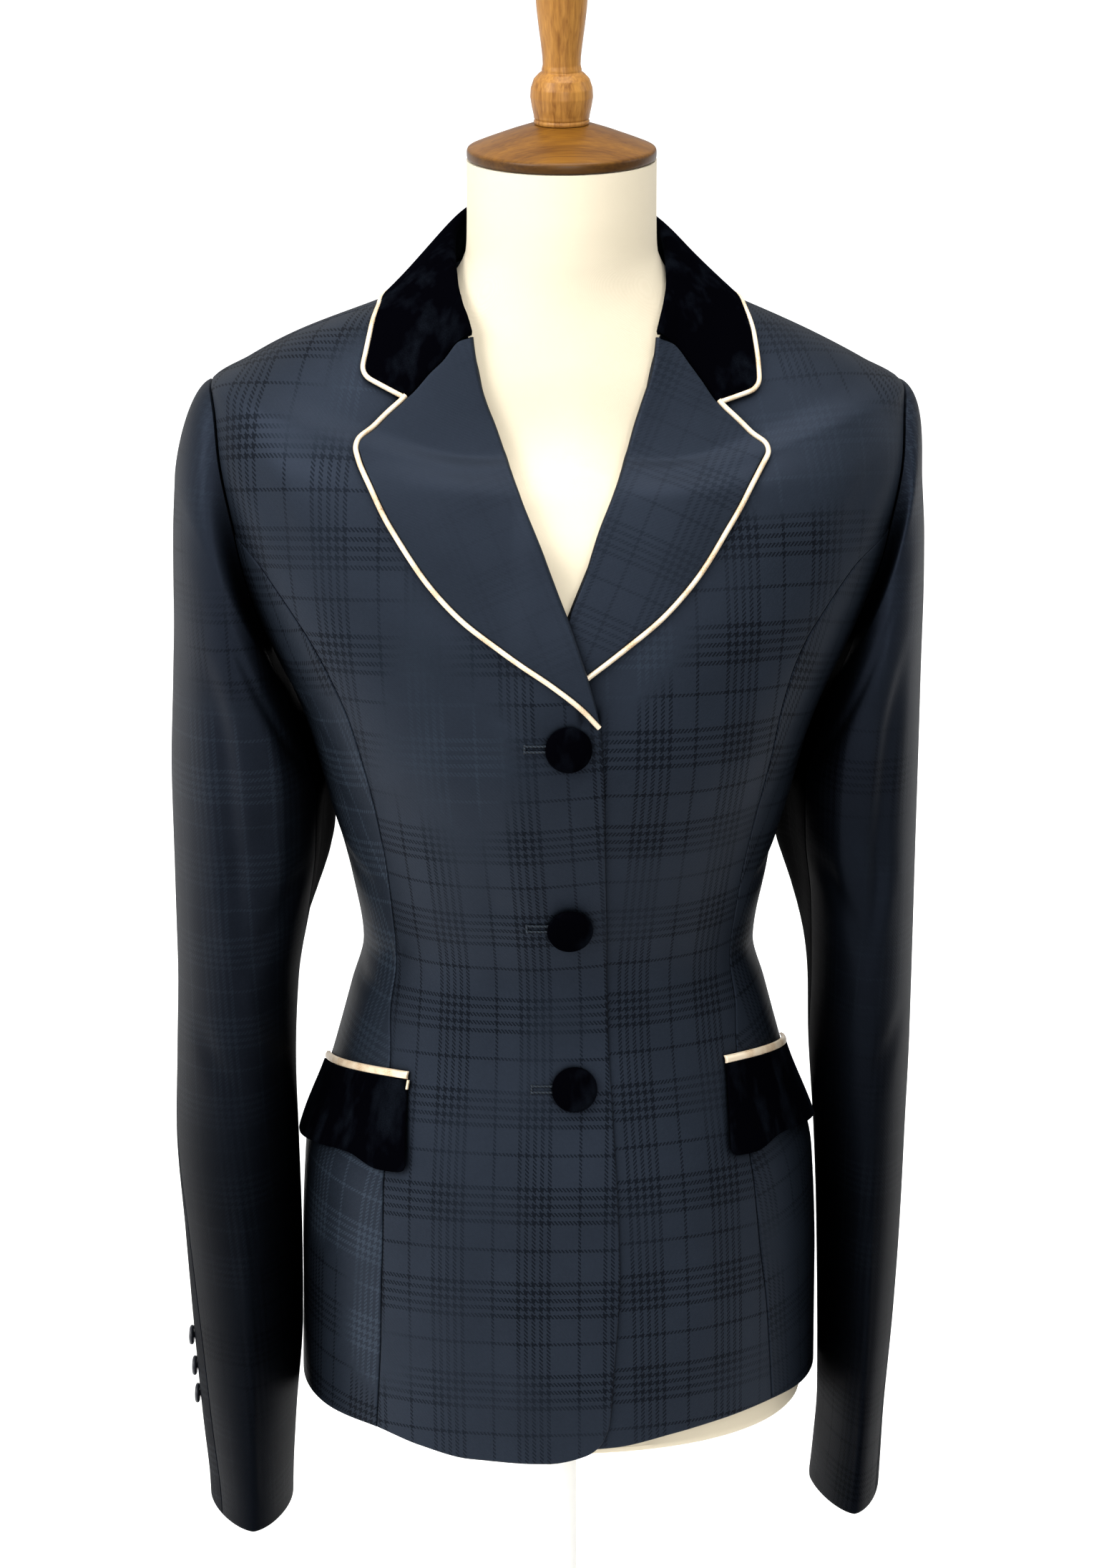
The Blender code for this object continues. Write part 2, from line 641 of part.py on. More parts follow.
def collar_grid():
    """Outer points of the collar: neck seam, stand, fold, then the leaf to its edge."""
    table = Table(COLLAR_COLUMNS, COLLAR_ROWS)
    last_station = COLLAR_ROWS[-1][0]
    grid = []
    for k in range(COLLAR_STATIONS + 1):
        station = last_station * k / COLLAR_STATIONS
        end = min(station, last_station - station)
        fold = np.array([table.read(c, station) for c in ("fold_x", "fold_y", "fold_z")])
        fold[0] += COAT_SHIFT
        seam_up = NECK_UP - 25.0 * smooth(-end, -1.6, 0.0)
        seam = torso(table.read("seam", station), seam_up, LIE + CLOTH)
        leaf = torso(table.read("leaf_turn", station), table.read("leaf_up", station),
                     LIE + CLOTH + 0.4)
        outward = unit(np.array([fold[0] - COAT_SHIFT, fold[1], 0.0]))
        inner_fold = fold - outward * FOLD_RADIUS
        foot = seam - outward * STAND_INSET
        row = [foot, (foot + inner_fold) / 2, inner_fold,
               fold + np.array([0, 0, FOLD_RADIUS]) - outward * 0.5 * FOLD_RADIUS,
               fold + outward * FOLD_RADIUS]
        start = row[-1]
        pull = start + outward * COLLAR_BULGE + np.array([0.0, 0.0, 1.0])
        for c in range(1, COLLAR_FALL_COLUMNS + 1):
            t = c / COLLAR_FALL_COLUMNS
            point = (1 - t) ** 2 * start + 2 * t * (1 - t) * pull + t * t * leaf
            row.append(point)
        grid.append(row)
    # The fall's two ends are drawn to the gorge and to the collar's notch
    for side, ends in ((RIGHT, grid), (LEFT, grid[::-1])):
        fall = ends[0][-COLLAR_FALL_COLUMNS:]
        moves = [torso(*collar_end_turn_up(side, (c + 1) / COLLAR_FALL_COLUMNS),
                       LIE + CLOTH + 0.6) - point for c, point in enumerate(fall)]
        for k, row in enumerate(ends[:COLLAR_STATIONS // 2]):
            fade = max(0.0, 1 - k / COLLAR_END_REACH) ** 2
            for c, move in enumerate(moves):
                row[c - COLLAR_FALL_COLUMNS] = row[c - COLLAR_FALL_COLUMNS] + fade * move
    return grid


# Sleeves, a row per ring from the head down: outermost and innermost point (distance from
# the coat's centre and height), centre and half depth front to back, squareness
SLEEVE_ROWS = [
    # ring  out x   out z   in x    in z   centre y  depth  square
    (0.0,  212.8,  776.0,  157.5,  652.0,    3.0,    60.0,  2.10),
    (1.0,  215.5,  740.0,  151.0,  634.0,    4.0,    65.0,  2.10),
    (2.0,  216.3,  700.0,  144.5,  615.0,    5.0,    68.0,  2.10),
    (3.0,  216.3,  655.0,  139.5,  592.0,    6.0,    68.5,  2.10),
    (4.0,  216.2,  600.0,  141.0,  560.0,    6.0,    66.5,  2.05),
    (5.0,  216.0,  545.0,  144.5,  523.0,    5.0,    64.0,  2.00),
    (6.0,  215.5,  490.0,  148.8,  478.0,    3.0,    62.0,  1.95),
    (7.0,  214.8,  435.0,  152.0,  430.0,   -1.0,    60.0,  1.85),
    (8.0,  213.7,  380.0,  153.3,  377.0,   -5.0,    59.0,  1.75),
    (9.0,  212.0,  325.0,  154.2,  323.0,   -9.0,    58.0,  1.68),
    (10.0, 209.5,  270.0,  155.6,  269.0,  -12.5,    57.0,  1.62),
    (11.0, 206.0,  215.0,  156.5,  214.0,  -15.5,    56.5,  1.58),
    (12.0, 202.6,  180.0,  157.2,  180.0,  -17.0,    56.0,  1.56),
    (13.0, 200.5,  161.0,  157.5,  161.0,  -18.0,    55.5,  1.56),
]
# How far each sleeve's outer and inner line hangs outwards from the rows above
SLEEVE_HANG_ROWS = [
    # ring  right out  right in  left out  left in
    (0.0,    5.0,      -4.0,     -5.0,     -4.0),
    (1.0,    4.0,      -4.4,     -5.7,     -4.4),
    (2.0,    3.6,      -3.7,     -6.2,     -4.0),
    (3.0,    5.0,      -1.5,     -6.7,     -3.0),
    (4.0,    7.0,       0.0,     -7.0,     -1.0),
    (5.0,    6.6,       1.3,     -7.5,      1.0),
    (6.0,    6.5,       2.8,     -7.7,     -1.0),
    (7.0,    8.6,       2.0,     -8.0,     -3.8),
    (8.0,   11.0,      -0.3,     -9.0,     -2.0),
    (9.0,    9.0,      -2.2,     -9.5,     -1.0),
    (10.0,   8.0,      -3.2,    -10.3,     -1.5),
    (11.0,   7.5,       0.5,    -11.5,     -2.0),
    (12.0,   7.5,       2.0,    -10.0,     -5.0),
    (13.0,   8.5,       2.5,     -9.0,     -7.5),
]
SLEEVE_COLUMNS = "ring out_x out_z in_x in_z centre_y depth square"
CUFF_DROP = 3.0         # how much lower the cuffs' last ring lies than its row
SLEEVE_TWIST = 72.0     # degrees that the seams turn from the shoulder to the cuff
HEAD_RINGS = 4
OUTER_SEAM_STEP = 18    # the sleeve's back seam, which the twist brings to the outside
UNDER_SEAM_STEP = 8

SLEEVES = Table(SLEEVE_COLUMNS, SLEEVE_ROWS)
SLEEVE_HANG = Table("ring right_out right_in left_out left_in", SLEEVE_HANG_ROWS)


def sleeve_point(side, ring, degrees):
    """A point of a sleeve's outer face, some degrees from its outermost line to the front."""
    row = {name: SLEEVES.read(name, ring) for name in SLEEVES.columns[1:]}
    name = SIDE_NAMES[side]
    drop = CUFF_DROP * smooth(ring, 11.5, 13.0)
    outer = np.array([side * (row["out_x"] + SLEEVE_HANG.read(name + "_out", ring)), 0.0,
                      row["out_z"] - drop])
    inner = np.array([side * (row["in_x"] + SLEEVE_HANG.read(name + "_in", ring)), 0.0,
                      row["in_z"] - drop])
    centre, half = (outer + inner) / 2, (outer - inner) / 2
    sine, cosine = math.sin(math.radians(degrees)), math.cos(math.radians(degrees))
    square = row["square"]
    reach = (abs(sine) ** square + abs(cosine) ** square) ** (-1 / square)
    sideways = np.array([COAT_SHIFT, row["centre_y"] - row["depth"] * reach * sine, 0.0])
    return centre + half * reach * cosine + sideways


def sleeve_ring(side, ring):
    """Points of one ring of a sleeve, in the order of the armhole's steps."""
    twist = SLEEVE_TWIST * smooth(ring, 1.0, SLEEVE_ROWS[-1][0])
    return [sleeve_point(side, ring, 360.0 * k / ARMHOLE_STEPS + twist)
            for k in range(ARMHOLE_STEPS)]


def sleeve_grid(side):
    """Rings of a sleeve's outer face, from the armhole to the cuff."""
    start = [torso(*armhole(side, k, inset=0.45)) for k in range(ARMHOLE_STEPS)]
    first, second = sleeve_ring(side, 0.0), sleeve_ring(side, 1.0)
    rings = [start]
    for r in range(1, HEAD_RINGS + 1):
        t = r / (HEAD_RINGS + 1)
        ring = []
        for k in range(ARMHOLE_STEPS):
            angle = 2 * math.pi * k / ARMHOLE_STEPS
            top_share = (1 + math.cos(angle)) / 2
            out_share = 0.97 * top_share + 0.45 * (1 - top_share)
            drop = 0.24 * top_share + 0.88 * (1 - top_share)
            reach = 40.0 * top_share + 20.0 * (1 - top_share)
            leave = np.array([side * out_share, -0.35 * math.sin(angle), -drop]) * reach
            arrive = (second[k] - first[k]) * (1.15 + 0.1 * top_share)
            h00 = 2 * t ** 3 - 3 * t ** 2 + 1
            h10 = t ** 3 - 2 * t ** 2 + t
            h01 = 3 * t ** 2 - 2 * t ** 3
            h11 = t ** 3 - t ** 2
            ring.append(h00 * start[k] + h10 * leave + h01 * first[k] + h11 * arrive)
        rings.append(ring)
    rings += [sleeve_ring(side, float(row[0])) for row in SLEEVE_ROWS]
    return rings


def build_sleeve(side, material):
    """Top sleeve and under sleeve, with a seam's gap between them."""
    rings = np.array(sleeve_grid(side))
    inner = inward_copy(rings, CLOTH * -side, closed=True)
    count = ARMHOLE_STEPS
    top_steps = [k % count for k in range(OUTER_SEAM_STEP, count + UNDER_SEAM_STEP + 1)]
    under_steps = list(range(UNDER_SEAM_STEP, OUTER_SEAM_STEP + 1))
    for label, steps in (("top", top_steps), ("under", under_steps)):
        faces = []
        for grid in (rings, inner):
            part = grid[:, steps].copy()
            for edge, neighbour in ((0, 1), (-1, -2)):
                way = part[:, neighbour] - part[:, edge]
                way /= np.linalg.norm(way, axis=1, keepdims=True)
                part[:, edge] += way * SEAM / 2
            faces.append(part)
        wall(f"sleeve_{label}_{SIDE_NAMES[side]}", faces[0], faces[1], material)


# Pocket flaps: share from the front end to the back end, top and bottom of the flap, and
# how far its bottom edge stands off
FLAP_ROWS = [
    # share  top turn  top up  low turn  low up  stand off
    (0.00,   49.6,     220.5,  45.2,     167.2,  3.0),
    (0.15,   55.5,     219.5,  52.5,     166.0,  3.2),
    (0.35,   64.5,     217.0,  62.0,     170.5,  3.4),
    (0.60,   76.5,     212.0,  75.0,     166.0,  3.4),
    (0.80,   86.5,     206.5,  86.0,     161.0,  3.2),
    (1.00,   96.0,     200.5,  96.5,     157.5,  2.6),
]
FLAP_RAISE = {RIGHT: 0.0, LEFT: 5.0}
FLAP_STAND = {RIGHT: 1.0, LEFT: 0.7}
FLAP_COLUMNS, FLAP_BANDS = 9, 4


def flap_places(side):
    table = Table("share top_turn top_up low_turn low_up off", FLAP_ROWS)
    places = []
    for c in range(FLAP_COLUMNS):
        share = c / (FLAP_COLUMNS - 1)
        row = []
        for b in range(FLAP_BANDS + 1):
            v = b / FLAP_BANDS
            turn = table.read("top_turn", share) * (1 - v) + table.read("low_turn", share) * v
            up = table.read("top_up", share) * (1 - v) + table.read("low_up", share) * v
            off = LIE + CLOTH + (table.read("off", share) - 1.0) * FLAP_STAND[side] * v ** 1.5
            row.append((side * turn, up + FLAP_RAISE[side], off))
        places.append(row)
    return places


def welt_places(side):
    """The narrow strip that trims the pocket's mouth, just above the flap."""
    table = Table("share top_turn top_up low_turn low_up off", FLAP_ROWS)
    places = []
    for c in range(FLAP_COLUMNS):
        share = c / (FLAP_COLUMNS - 1)
        turn = side * table.read("top_turn", share)
        foot = table.read("top_up", share) + FLAP_RAISE[side] + SEAM * 2
        row = [(turn, foot + WELT_HEIGHT * b / 2, LIE + CLOTH) for b in range(3)]
        places.append(row)
    return places


# Front buttons, from the top: place on the front
BUTTON_ROWS = [
    # name            turn   up
    ("front_button_1", -1.5, 437.0),
    ("front_button_2", -0.5, 321.5),
    ("front_button_3", 1.0,  221.7),
]
# A covered button: shank, rounded back, rim and flat dome, as radius and height
BUTTON_PROFILE = [
    (3.0, 0.0), (3.2, 1.4), (10.4, 1.7), (12.4, 2.5), (BUTTON_RADIUS, 3.9), (12.5, 5.4),
    (10.2, 6.4), (6.4, 7.0), (2.4, 7.3),
]
CUFF_BUTTON_PROFILE = [
    (1.6, 0.0), (1.7, 0.8), (5.0, 1.0), (CUFF_BUTTON_RADIUS, 2.0), (5.4, 3.2), (3.0, 3.9),
    (1.0, 4.0),
]
CUFF_BUTTON_HEIGHTS = [256.0, 238.0, 220.0]
CUFF_BUTTON_LIE = 0.1   # from the curved cloth; the flat facets lie deeper
CUFF_BUTTON_ANGLE = {RIGHT: -6.0, LEFT: -24.0}  # degrees behind the sleeve's outermost line


def build_front_buttons(material):
    for name, turn, up in BUTTON_ROWS:
        out = front_out(RIGHT, turn, up) + SEAM
        foot, tip = torso(turn, up, out), torso(turn, up, out + 10.0)
        turned(name, BUTTON_PROFILE, 16, material, foot, tip - foot)


def build_cuff_buttons(side, material):
    """Three buttons down the outside of the cuff, by the sleeve's back seam."""
    angle = CUFF_BUTTON_ANGLE[side]
    for number, height in enumerate(CUFF_BUTTON_HEIGHTS, 1):
        ring = min(np.linspace(8, 13, 200), key=lambda r: abs(SLEEVES.read("out_z", r) - height))
        foot = sleeve_point(side, ring, angle)
        along = sleeve_point(side, ring, angle + 2) - sleeve_point(side, ring, angle - 2)
        axis = unit(np.cross(along, (0.0, 0.0, 1.0)))
        axis *= math.copysign(1.0, axis[0] * side)
        name = f"cuff_button_{SIDE_NAMES[side]}_{number}"
        turned(name, CUFF_BUTTON_PROFILE, 9, material, foot + axis * CUFF_BUTTON_LIE, axis)


def beside_edge(places, side):
    """A line that runs along an edge on the torso, to one side of it by a piping's radius."""
    points = np.array([torso(turn, up, out + LIE + PIPING_RADIUS) for turn, up, out in places])
    normals = points - np.array([torso(turn, up, out) for turn, up, out in places])
    steps = np.diff(points, axis=0)
    steps /= np.linalg.norm(steps, axis=1, keepdims=True)
    before, after = np.vstack([steps[:1], steps]), np.vstack([steps, steps[-1:]])
    ways = np.cross(normals, before + after)
    ways /= np.linalg.norm(ways, axis=1, keepdims=True)
    # At a corner the line runs further out, so that it clears both edges
    turn_cosine = np.sqrt((1 + np.sum(before * after, axis=1, keepdims=True)) / 2)
    return points + ways * side * (PIPING_RADIUS + SEAM) / np.maximum(turn_cosine, 0.6)


def build_lapel_piping(side, material):
    """The lapel's piping, from the notch round the lapel's point to the break."""
    grid = lapel_places(side)
    edge = grid[0][NOTCH_COLUMN:]
    edge += [row[-1] for row, share in zip(grid[1:], LAPEL_SHARES[1:])
             if share <= PIPING_END[side]]
    path = beside_edge([(turn, up, front_out(side, turn, up) + LAPEL_EASE)
                        for turn, up, _ in edge], side)
    path[0] = path[0] * 0.75 + path[1] * 0.25      # leaves room for the collar's piping
    tube(f"lapel_piping_{SIDE_NAMES[side]}", path, PIPING_RADIUS, 6, material)


def build_collar(cloth, trim):
    grid = np.array(collar_grid())
    inner = inward_copy(grid, CLOTH, closed=False)
    wall("collar", grid, inner, cloth)
    shares = [COLLAR_SPLIT + (1 - COLLAR_SPLIT) * (0.2 + 0.3 * k) for k in range(3)]
    places = [collar_end_turn_up(RIGHT, share) + (0.0,) for share in shares]
    last_station = COLLAR_ROWS[-1][0]
    table = Table(COLLAR_COLUMNS, COLLAR_ROWS)
    for k in range(COLLAR_STATIONS + 1):
        station = last_station * k / COLLAR_STATIONS
        places.append((table.read("leaf_turn", station), table.read("leaf_up", station), 0.0))
    places += [(turn - 360.0, up, 0.0) for turn, up in
               [collar_end_turn_up(LEFT, share) for share in reversed(shares)]]
    tube("collar_piping", beside_edge(places, 1), PIPING_RADIUS, 5, trim)


# The form's neck above the coat, as rings: height, half width, depth in front and behind
NECK_ROWS = [
    (893.0, 58.5, 51.5, 57.5),
    (901.0, 56.2, 53.0, 56.2),
    (912.0, 55.4, 54.3, 55.4),
    (930.0, NECK_RADIUS, NECK_RADIUS, NECK_RADIUS),
    (NECK_TOP, NECK_RADIUS, NECK_RADIUS, NECK_RADIUS),
]
FORM_LEVELS = [0.0, 50.0, 105.0, 158.0, 200.0, 240.0, 280.0, 325.0, 370.0, 412.0,
               452.0, 495.0, 540.0, 575.0, 604.0, 628.0, 648.0, 672.0, 700.0,
               728.0, 750.0, NECK_UP]
FORM_SEGMENTS = 28


def build_form(material):
    """The smooth body inside the coat, closed at its underside and at the neck's top."""
    rings = []
    for up in FORM_LEVELS:
        gap = FORM_GAP + (FORM_GAP_HEM - FORM_GAP) * (1 - smooth(up, 0.0, 260.0))
        gap += (FORM_GAP_SHOULDER - FORM_GAP) * smooth(up, 540, 600) * (1 - smooth(up, 650, 720))
        ring = [torso(360.0 * k / FORM_SEGMENTS, up, -gap) for k in range(FORM_SEGMENTS)]
        rings.append([p - np.array([COAT_SHIFT, 0, 0]) for p in ring])
    low = [p * np.array([1, 1, 0]) + np.array([0, 0, FORM_BOTTOM]) for p in rings[0]]
    bevel = [p * np.array([0.975, 0.975, 1]) for p in low]
    middle = [p * np.array([1, 1, 0]) + np.array([0, 0, FORM_BOTTOM + 4.0]) for p in rings[0]]
    rings[0] = middle
    rings.insert(0, bevel)
    for height, half, front, back in NECK_ROWS:
        ring = []
        for k in range(FORM_SEGMENTS):
            angle = 2 * math.pi * k / FORM_SEGMENTS
            depth = front if math.cos(angle) > 0 else back
            ring.append(np.array([half * math.sin(angle), -depth * math.cos(angle), height]))
        rings.append(ring)
    verts = [p for ring in rings for p in ring]
    faces = []
    for r in range(len(rings) - 1):
        for k in range(FORM_SEGMENTS):
            a, b = r * FORM_SEGMENTS + k, r * FORM_SEGMENTS + (k + 1) % FORM_SEGMENTS
            faces.append((a, b, b + FORM_SEGMENTS, a + FORM_SEGMENTS))
    faces.append(tuple(range(FORM_SEGMENTS)))
    top = (len(rings) - 1) * FORM_SEGMENTS
    faces.append(tuple(top + k for k in range(FORM_SEGMENTS)))
    add_object("form_body", verts, faces, material)


# Wooden parts and the stand, as radius and height above the floor
CAP_PROFILE = [
    (54.0, CAP_RIM_Z), (55.4, 958.0), (55.6, 961.0), (54.6, 963.0), (51.0, 967.6),
    (42.5, 971.4), (29.0, 974.6), (17.4, 976.4),
]
FINIAL_PROFILE = [
    (16.0, 976.7), (16.3, 981.5), (17.8, 986.0), (18.8, 991.5), (18.4, 997.0),
    (16.2, 1002.4), (12.2, 1005.2), (11.4, 1008.0), (11.5, 1014.0), (12.2, 1021.0),
    (13.2, 1030.0), (14.4, 1040.0), (15.2, 1050.0), (15.0, 1060.0), (12.6, 1068.0),
    (8.0, 1073.0), (2.5, 1074.8),
]
POLE_PROFILE = [(POLE_RADIUS, 22.3), (POLE_RADIUS, FORM_BOTTOM - SEAM)]
BASE_PROFILE = [
    (BASE_RADIUS - 2, 0.0), (BASE_RADIUS, 2.0), (BASE_RADIUS, 7.0), (BASE_RADIUS - 3, 9.5),
    (60.0, 11.5), (24.0, 13.0), (19.0, 16.0), (18.0, 21.0), (16.5, 22.0),
]


def clear_scene():
    for thing in list(bpy.data.objects):
        bpy.data.objects.remove(thing, do_unlink=True)


def main():
    clear_scene()
    worsted = new_material("navy_worsted", "2b3440", 0.85)
    velvet = new_material("black_velvet", "0a0a0d", 0.95)
    leather = new_material("champagne_leather", "e8cba6", 0.35, 0.4)
    horn = new_material("dark_button", "121318", 0.4)
    jersey = new_material("cream_jersey", "f7f0dc", 0.9)
    wood = new_material("honey_wood", "9a5f2c", 0.35)
    steel = new_material("white_steel", "f2f2f0", 0.4)

    for side in (RIGHT, LEFT):
        name = SIDE_NAMES[side]
        panel(f"front_{name}", front_places(side), worsted)
        panel(f"side_{name}", side_places(side), worsted)
        panel(f"back_{name}", back_places(side), worsted)
        panel(f"lapel_{name}", lapel_places(side), worsted)
        build_sleeve(side, worsted)
        panel(f"pocket_flap_{name}", flap_places(side), velvet)
        panel(f"pocket_welt_{name}", welt_places(side), leather)
        build_lapel_piping(side, leather)
        build_cuff_buttons(side, horn)
    build_collar(velvet, leather)
    build_front_buttons(velvet)
    build_form(jersey)
    turned("neck_cap", CAP_PROFILE, 28, wood)
    turned("finial", FINIAL_PROFILE, 16, wood)
    turned("pole", POLE_PROFILE, 16, steel)
    turned("base", BASE_PROFILE, 30, steel)


main()
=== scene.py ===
"""The looks of an equestrian show coat, buttoned over a limbless dress form on its stand.

Every cloth piece is cut from one torso surface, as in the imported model, which is named by
two measures: turn, in degrees round the body from the centre front (negative on the
wearer's right), and up, in millimetres over the surface from the hem. Tables are in
millimetres and degrees, meshes in metres.
"""

from __future__ import annotations

import logging
import math
from collections.abc import Sequence
from dataclasses import dataclass, field
from enum import Enum

import bpy
import numpy as np
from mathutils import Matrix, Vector


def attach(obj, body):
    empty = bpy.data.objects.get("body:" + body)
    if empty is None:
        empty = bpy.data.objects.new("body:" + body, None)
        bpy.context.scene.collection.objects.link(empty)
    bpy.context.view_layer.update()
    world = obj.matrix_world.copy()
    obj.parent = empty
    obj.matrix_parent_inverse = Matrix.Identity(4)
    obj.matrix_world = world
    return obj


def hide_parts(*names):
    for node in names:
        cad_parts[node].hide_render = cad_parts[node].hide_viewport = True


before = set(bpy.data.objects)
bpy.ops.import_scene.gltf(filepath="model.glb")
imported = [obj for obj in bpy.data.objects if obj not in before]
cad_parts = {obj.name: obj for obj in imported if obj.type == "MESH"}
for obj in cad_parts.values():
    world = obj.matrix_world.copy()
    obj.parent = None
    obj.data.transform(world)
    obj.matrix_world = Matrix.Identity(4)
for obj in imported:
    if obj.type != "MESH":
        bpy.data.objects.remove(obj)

LOG = logging.getLogger("show_coat")
Array = np.ndarray
Grain = tuple[tuple[int, int], tuple[int, int]]     # two places (row, column) on a grid
Material = bpy.types.Material
Socket = bpy.types.NodeSocket
Thing = bpy.types.Object
MM = 0.001
BODY = "root"

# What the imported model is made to, in millimetres
CLOTH = 2.0             # wall of every cloth piece
SEAM = 0.3              # free space between two pieces at a seam
LIE = 0.9               # free space under what lies on a panel
LAPEL_EASE = 0.3        # further space under a lapel, where its panel bends
PIPING_GAP = 0.15       # free space between a piping cord and its edge
UV_NAME = "cut"         # the UV map that lays each piece flat, one unit to the metre
UPWARDS = (0.0, 0.0, 1.0)
FOLD = 0.96             # how far a folded edge of cloth is rounded
FREE_EDGES = dict.fromkeys(("last_column", "first_row", "last_row"), FOLD)
GRAIN_EASE = 25         # rows over which the scale along a grain line is evened out


class Side(Enum):
    """The wearer's right and left. Its value is the sign of turn and of x."""

    RIGHT = -1
    LEFT = 1

    @property
    def label(self) -> str:
        """The side's name in the names of nodes and pieces."""
        return self.name.lower()


class Hold(Enum):
    """How a sheet of cloth is held."""

    HUNG = "hung"
    FOLDED = "folded"


def hermite(t: Array, start: Array, leave: Array, end: Array, arrive: Array) -> Array:
    """A smooth curve from start to end at share t, with its slopes at both."""
    return ((2 * t ** 3 - 3 * t ** 2 + 1) * start + (t ** 3 - 2 * t ** 2 + t) * leave
            + (3 * t ** 2 - 2 * t ** 3) * end + (t ** 3 - t ** 2) * arrive)


class Table:
    """Rows of numbers under named columns, read in between by a smooth monotone curve."""

    def __init__(self, columns: str, rows: Sequence[tuple]) -> None:
        """Keep each row's numbers, the key first. A name before them is left out."""
        self.columns = columns.split()
        values = np.array([row[-len(self.columns):] for row in rows], float)
        self.key = values[:, 0]
        self._values = {name: values[:, i] for i, name in enumerate(self.columns)}
        self._slopes = {name: self._tangents(v) for name, v in self._values.items()}

    def _tangents(self, values: Array) -> Array:
        """A column's slopes at its rows, which never overshoot them."""
        step = np.diff(self.key)
        rate = np.diff(values) / step
        slopes = np.empty_like(values)
        slopes[0], slopes[-1] = rate[0], rate[-1]
        for i in range(1, len(values) - 1):
            before, after = rate[i - 1], rate[i]
            if before * after <= 0:
                slopes[i] = 0.0
                continue
            weight_a = 2 * step[i] + step[i - 1]
            weight_b = step[i] + 2 * step[i - 1]
            slopes[i] = (weight_a + weight_b) / (weight_a / before + weight_b / after)
        return slopes

    def read(self, name: str, key: Array | float) -> Array:
        """A column's values at those keys. Past the ends it holds the end's value."""
        key = np.clip(np.asarray(key, float), self.key[0], self.key[-1])
        i = np.clip(np.searchsorted(self.key, key) - 1, 0, len(self.key) - 2)
        step = self.key[i + 1] - self.key[i]
        values, slopes = self._values[name], self._slopes[name]
        return hermite((key - self.key[i]) / step, values[i], step * slopes[i],
                       values[i + 1], step * slopes[i + 1])

    def read_all(self, key: Array | float) -> dict[str, Array]:
        """Read every column but the key."""
        return {name: self.read(name, key) for name in self.columns[1:]}


def table(columns: str, rows: Sequence[tuple]) -> Table:
    """A field that holds a table."""
    return field(default_factory=lambda: Table(columns, rows))


def by_side(right: object, left: object) -> dict[Side, object]:
    """A field with a value for each side."""
    return field(default_factory=lambda: {Side.RIGHT: right, Side.LEFT: left})


def smooth(value: Array | float, start: float, end: float) -> Array:
    """0 before start and 1 after end, with soft ends."""
    t = np.clip((np.asarray(value, float) - start) / (end - start), 0.0, 1.0)
    return t * t * (3 - 2 * t)


def nearest(values: Array, value: float) -> int:
    """Which of the values lies nearest."""
    return int(np.argmin(np.abs(values - value)))


def unit(vectors: Array) -> Array:
    """Vectors of length one, along the last axis."""
    return vectors / np.maximum(np.linalg.norm(vectors, axis=-1, keepdims=True), 1e-12)


# The torso's sections, from the hem up the side, over the shoulder and to the neck
TORSO_ROWS = [
    # name          side z   half    front   back   front   back  corner  square
    ("hem",          222.0, 152.5, 124.0, 120.0,   -3.0,   0.0,    0.0, 2.20),
    ("low hip",      300.0, 152.5, 121.0, 123.0,    0.0,   0.0,    0.0, 2.20),
    ("hip",          370.0, 149.8, 115.0, 121.0,    0.0,   0.0,    0.0, 2.20),
    ("high hip",     430.0, 132.0, 105.0, 104.0,    0.0,   0.0,    0.0, 2.20),
    ("below waist",  471.0, 121.0,  98.0,  88.0,    0.0,   0.0,    0.0, 2.20),
    ("waist",        500.0, 113.6,  97.0,  82.0,    0.0,   0.0,    0.0, 2.20),
    ("ribs",         542.0, 120.0, 106.0,  86.0,    0.0,   0.0,    0.0, 2.25),
    ("under bust",   590.0, 132.8, 118.0,  94.0,    0.0,   0.0,    0.0, 2.30),
    ("bust",         640.0, 146.5, 127.0, 101.0,    0.0,   0.0,    0.0, 2.40),
    ("chest",        697.0, 172.0, 122.0, 105.0,    0.0,   0.0,    0.0, 2.45),
    ("armhole",      746.0, 190.0, 110.0, 105.0,    0.0,   0.0,    0.0, 2.50),
    ("upper chest",  795.0, 199.5,  97.0, 100.0,  -14.0,  -9.0,   -4.0, 2.45),
    ("shoulder",     827.0, 197.0,  86.0,  93.0,  -28.0, -19.0,  -16.0, 2.20),
    ("mid shoulder", 841.5, 176.0,  77.0,  85.0,  -30.0, -18.0,  -22.0, 2.10),
    ("near neck",    856.5, 148.0,  69.0,  80.0,  -26.0, -11.0,  -22.0, 2.05),
    ("neck slope",   873.5, 107.0,  62.0,  75.0,  -16.0,  -1.0,  -12.0, 2.00),
    ("neck",         887.0,  70.0,  58.0,  70.0,   -5.0,   8.0,    0.0, 2.00),
]


def measured_up_the_side(rows: Sequence[tuple]) -> list[tuple]:
    """The torso's sections with the distance walked up the side before each."""
    measured, up, last = [], 0.0, None
    for _, side_z, half, *rest in rows:
        if last:
            up += math.hypot(side_z - last[0], half - last[1])
        last = (side_z, half)
        measured.append((up, side_z, half, *rest))
    return measured


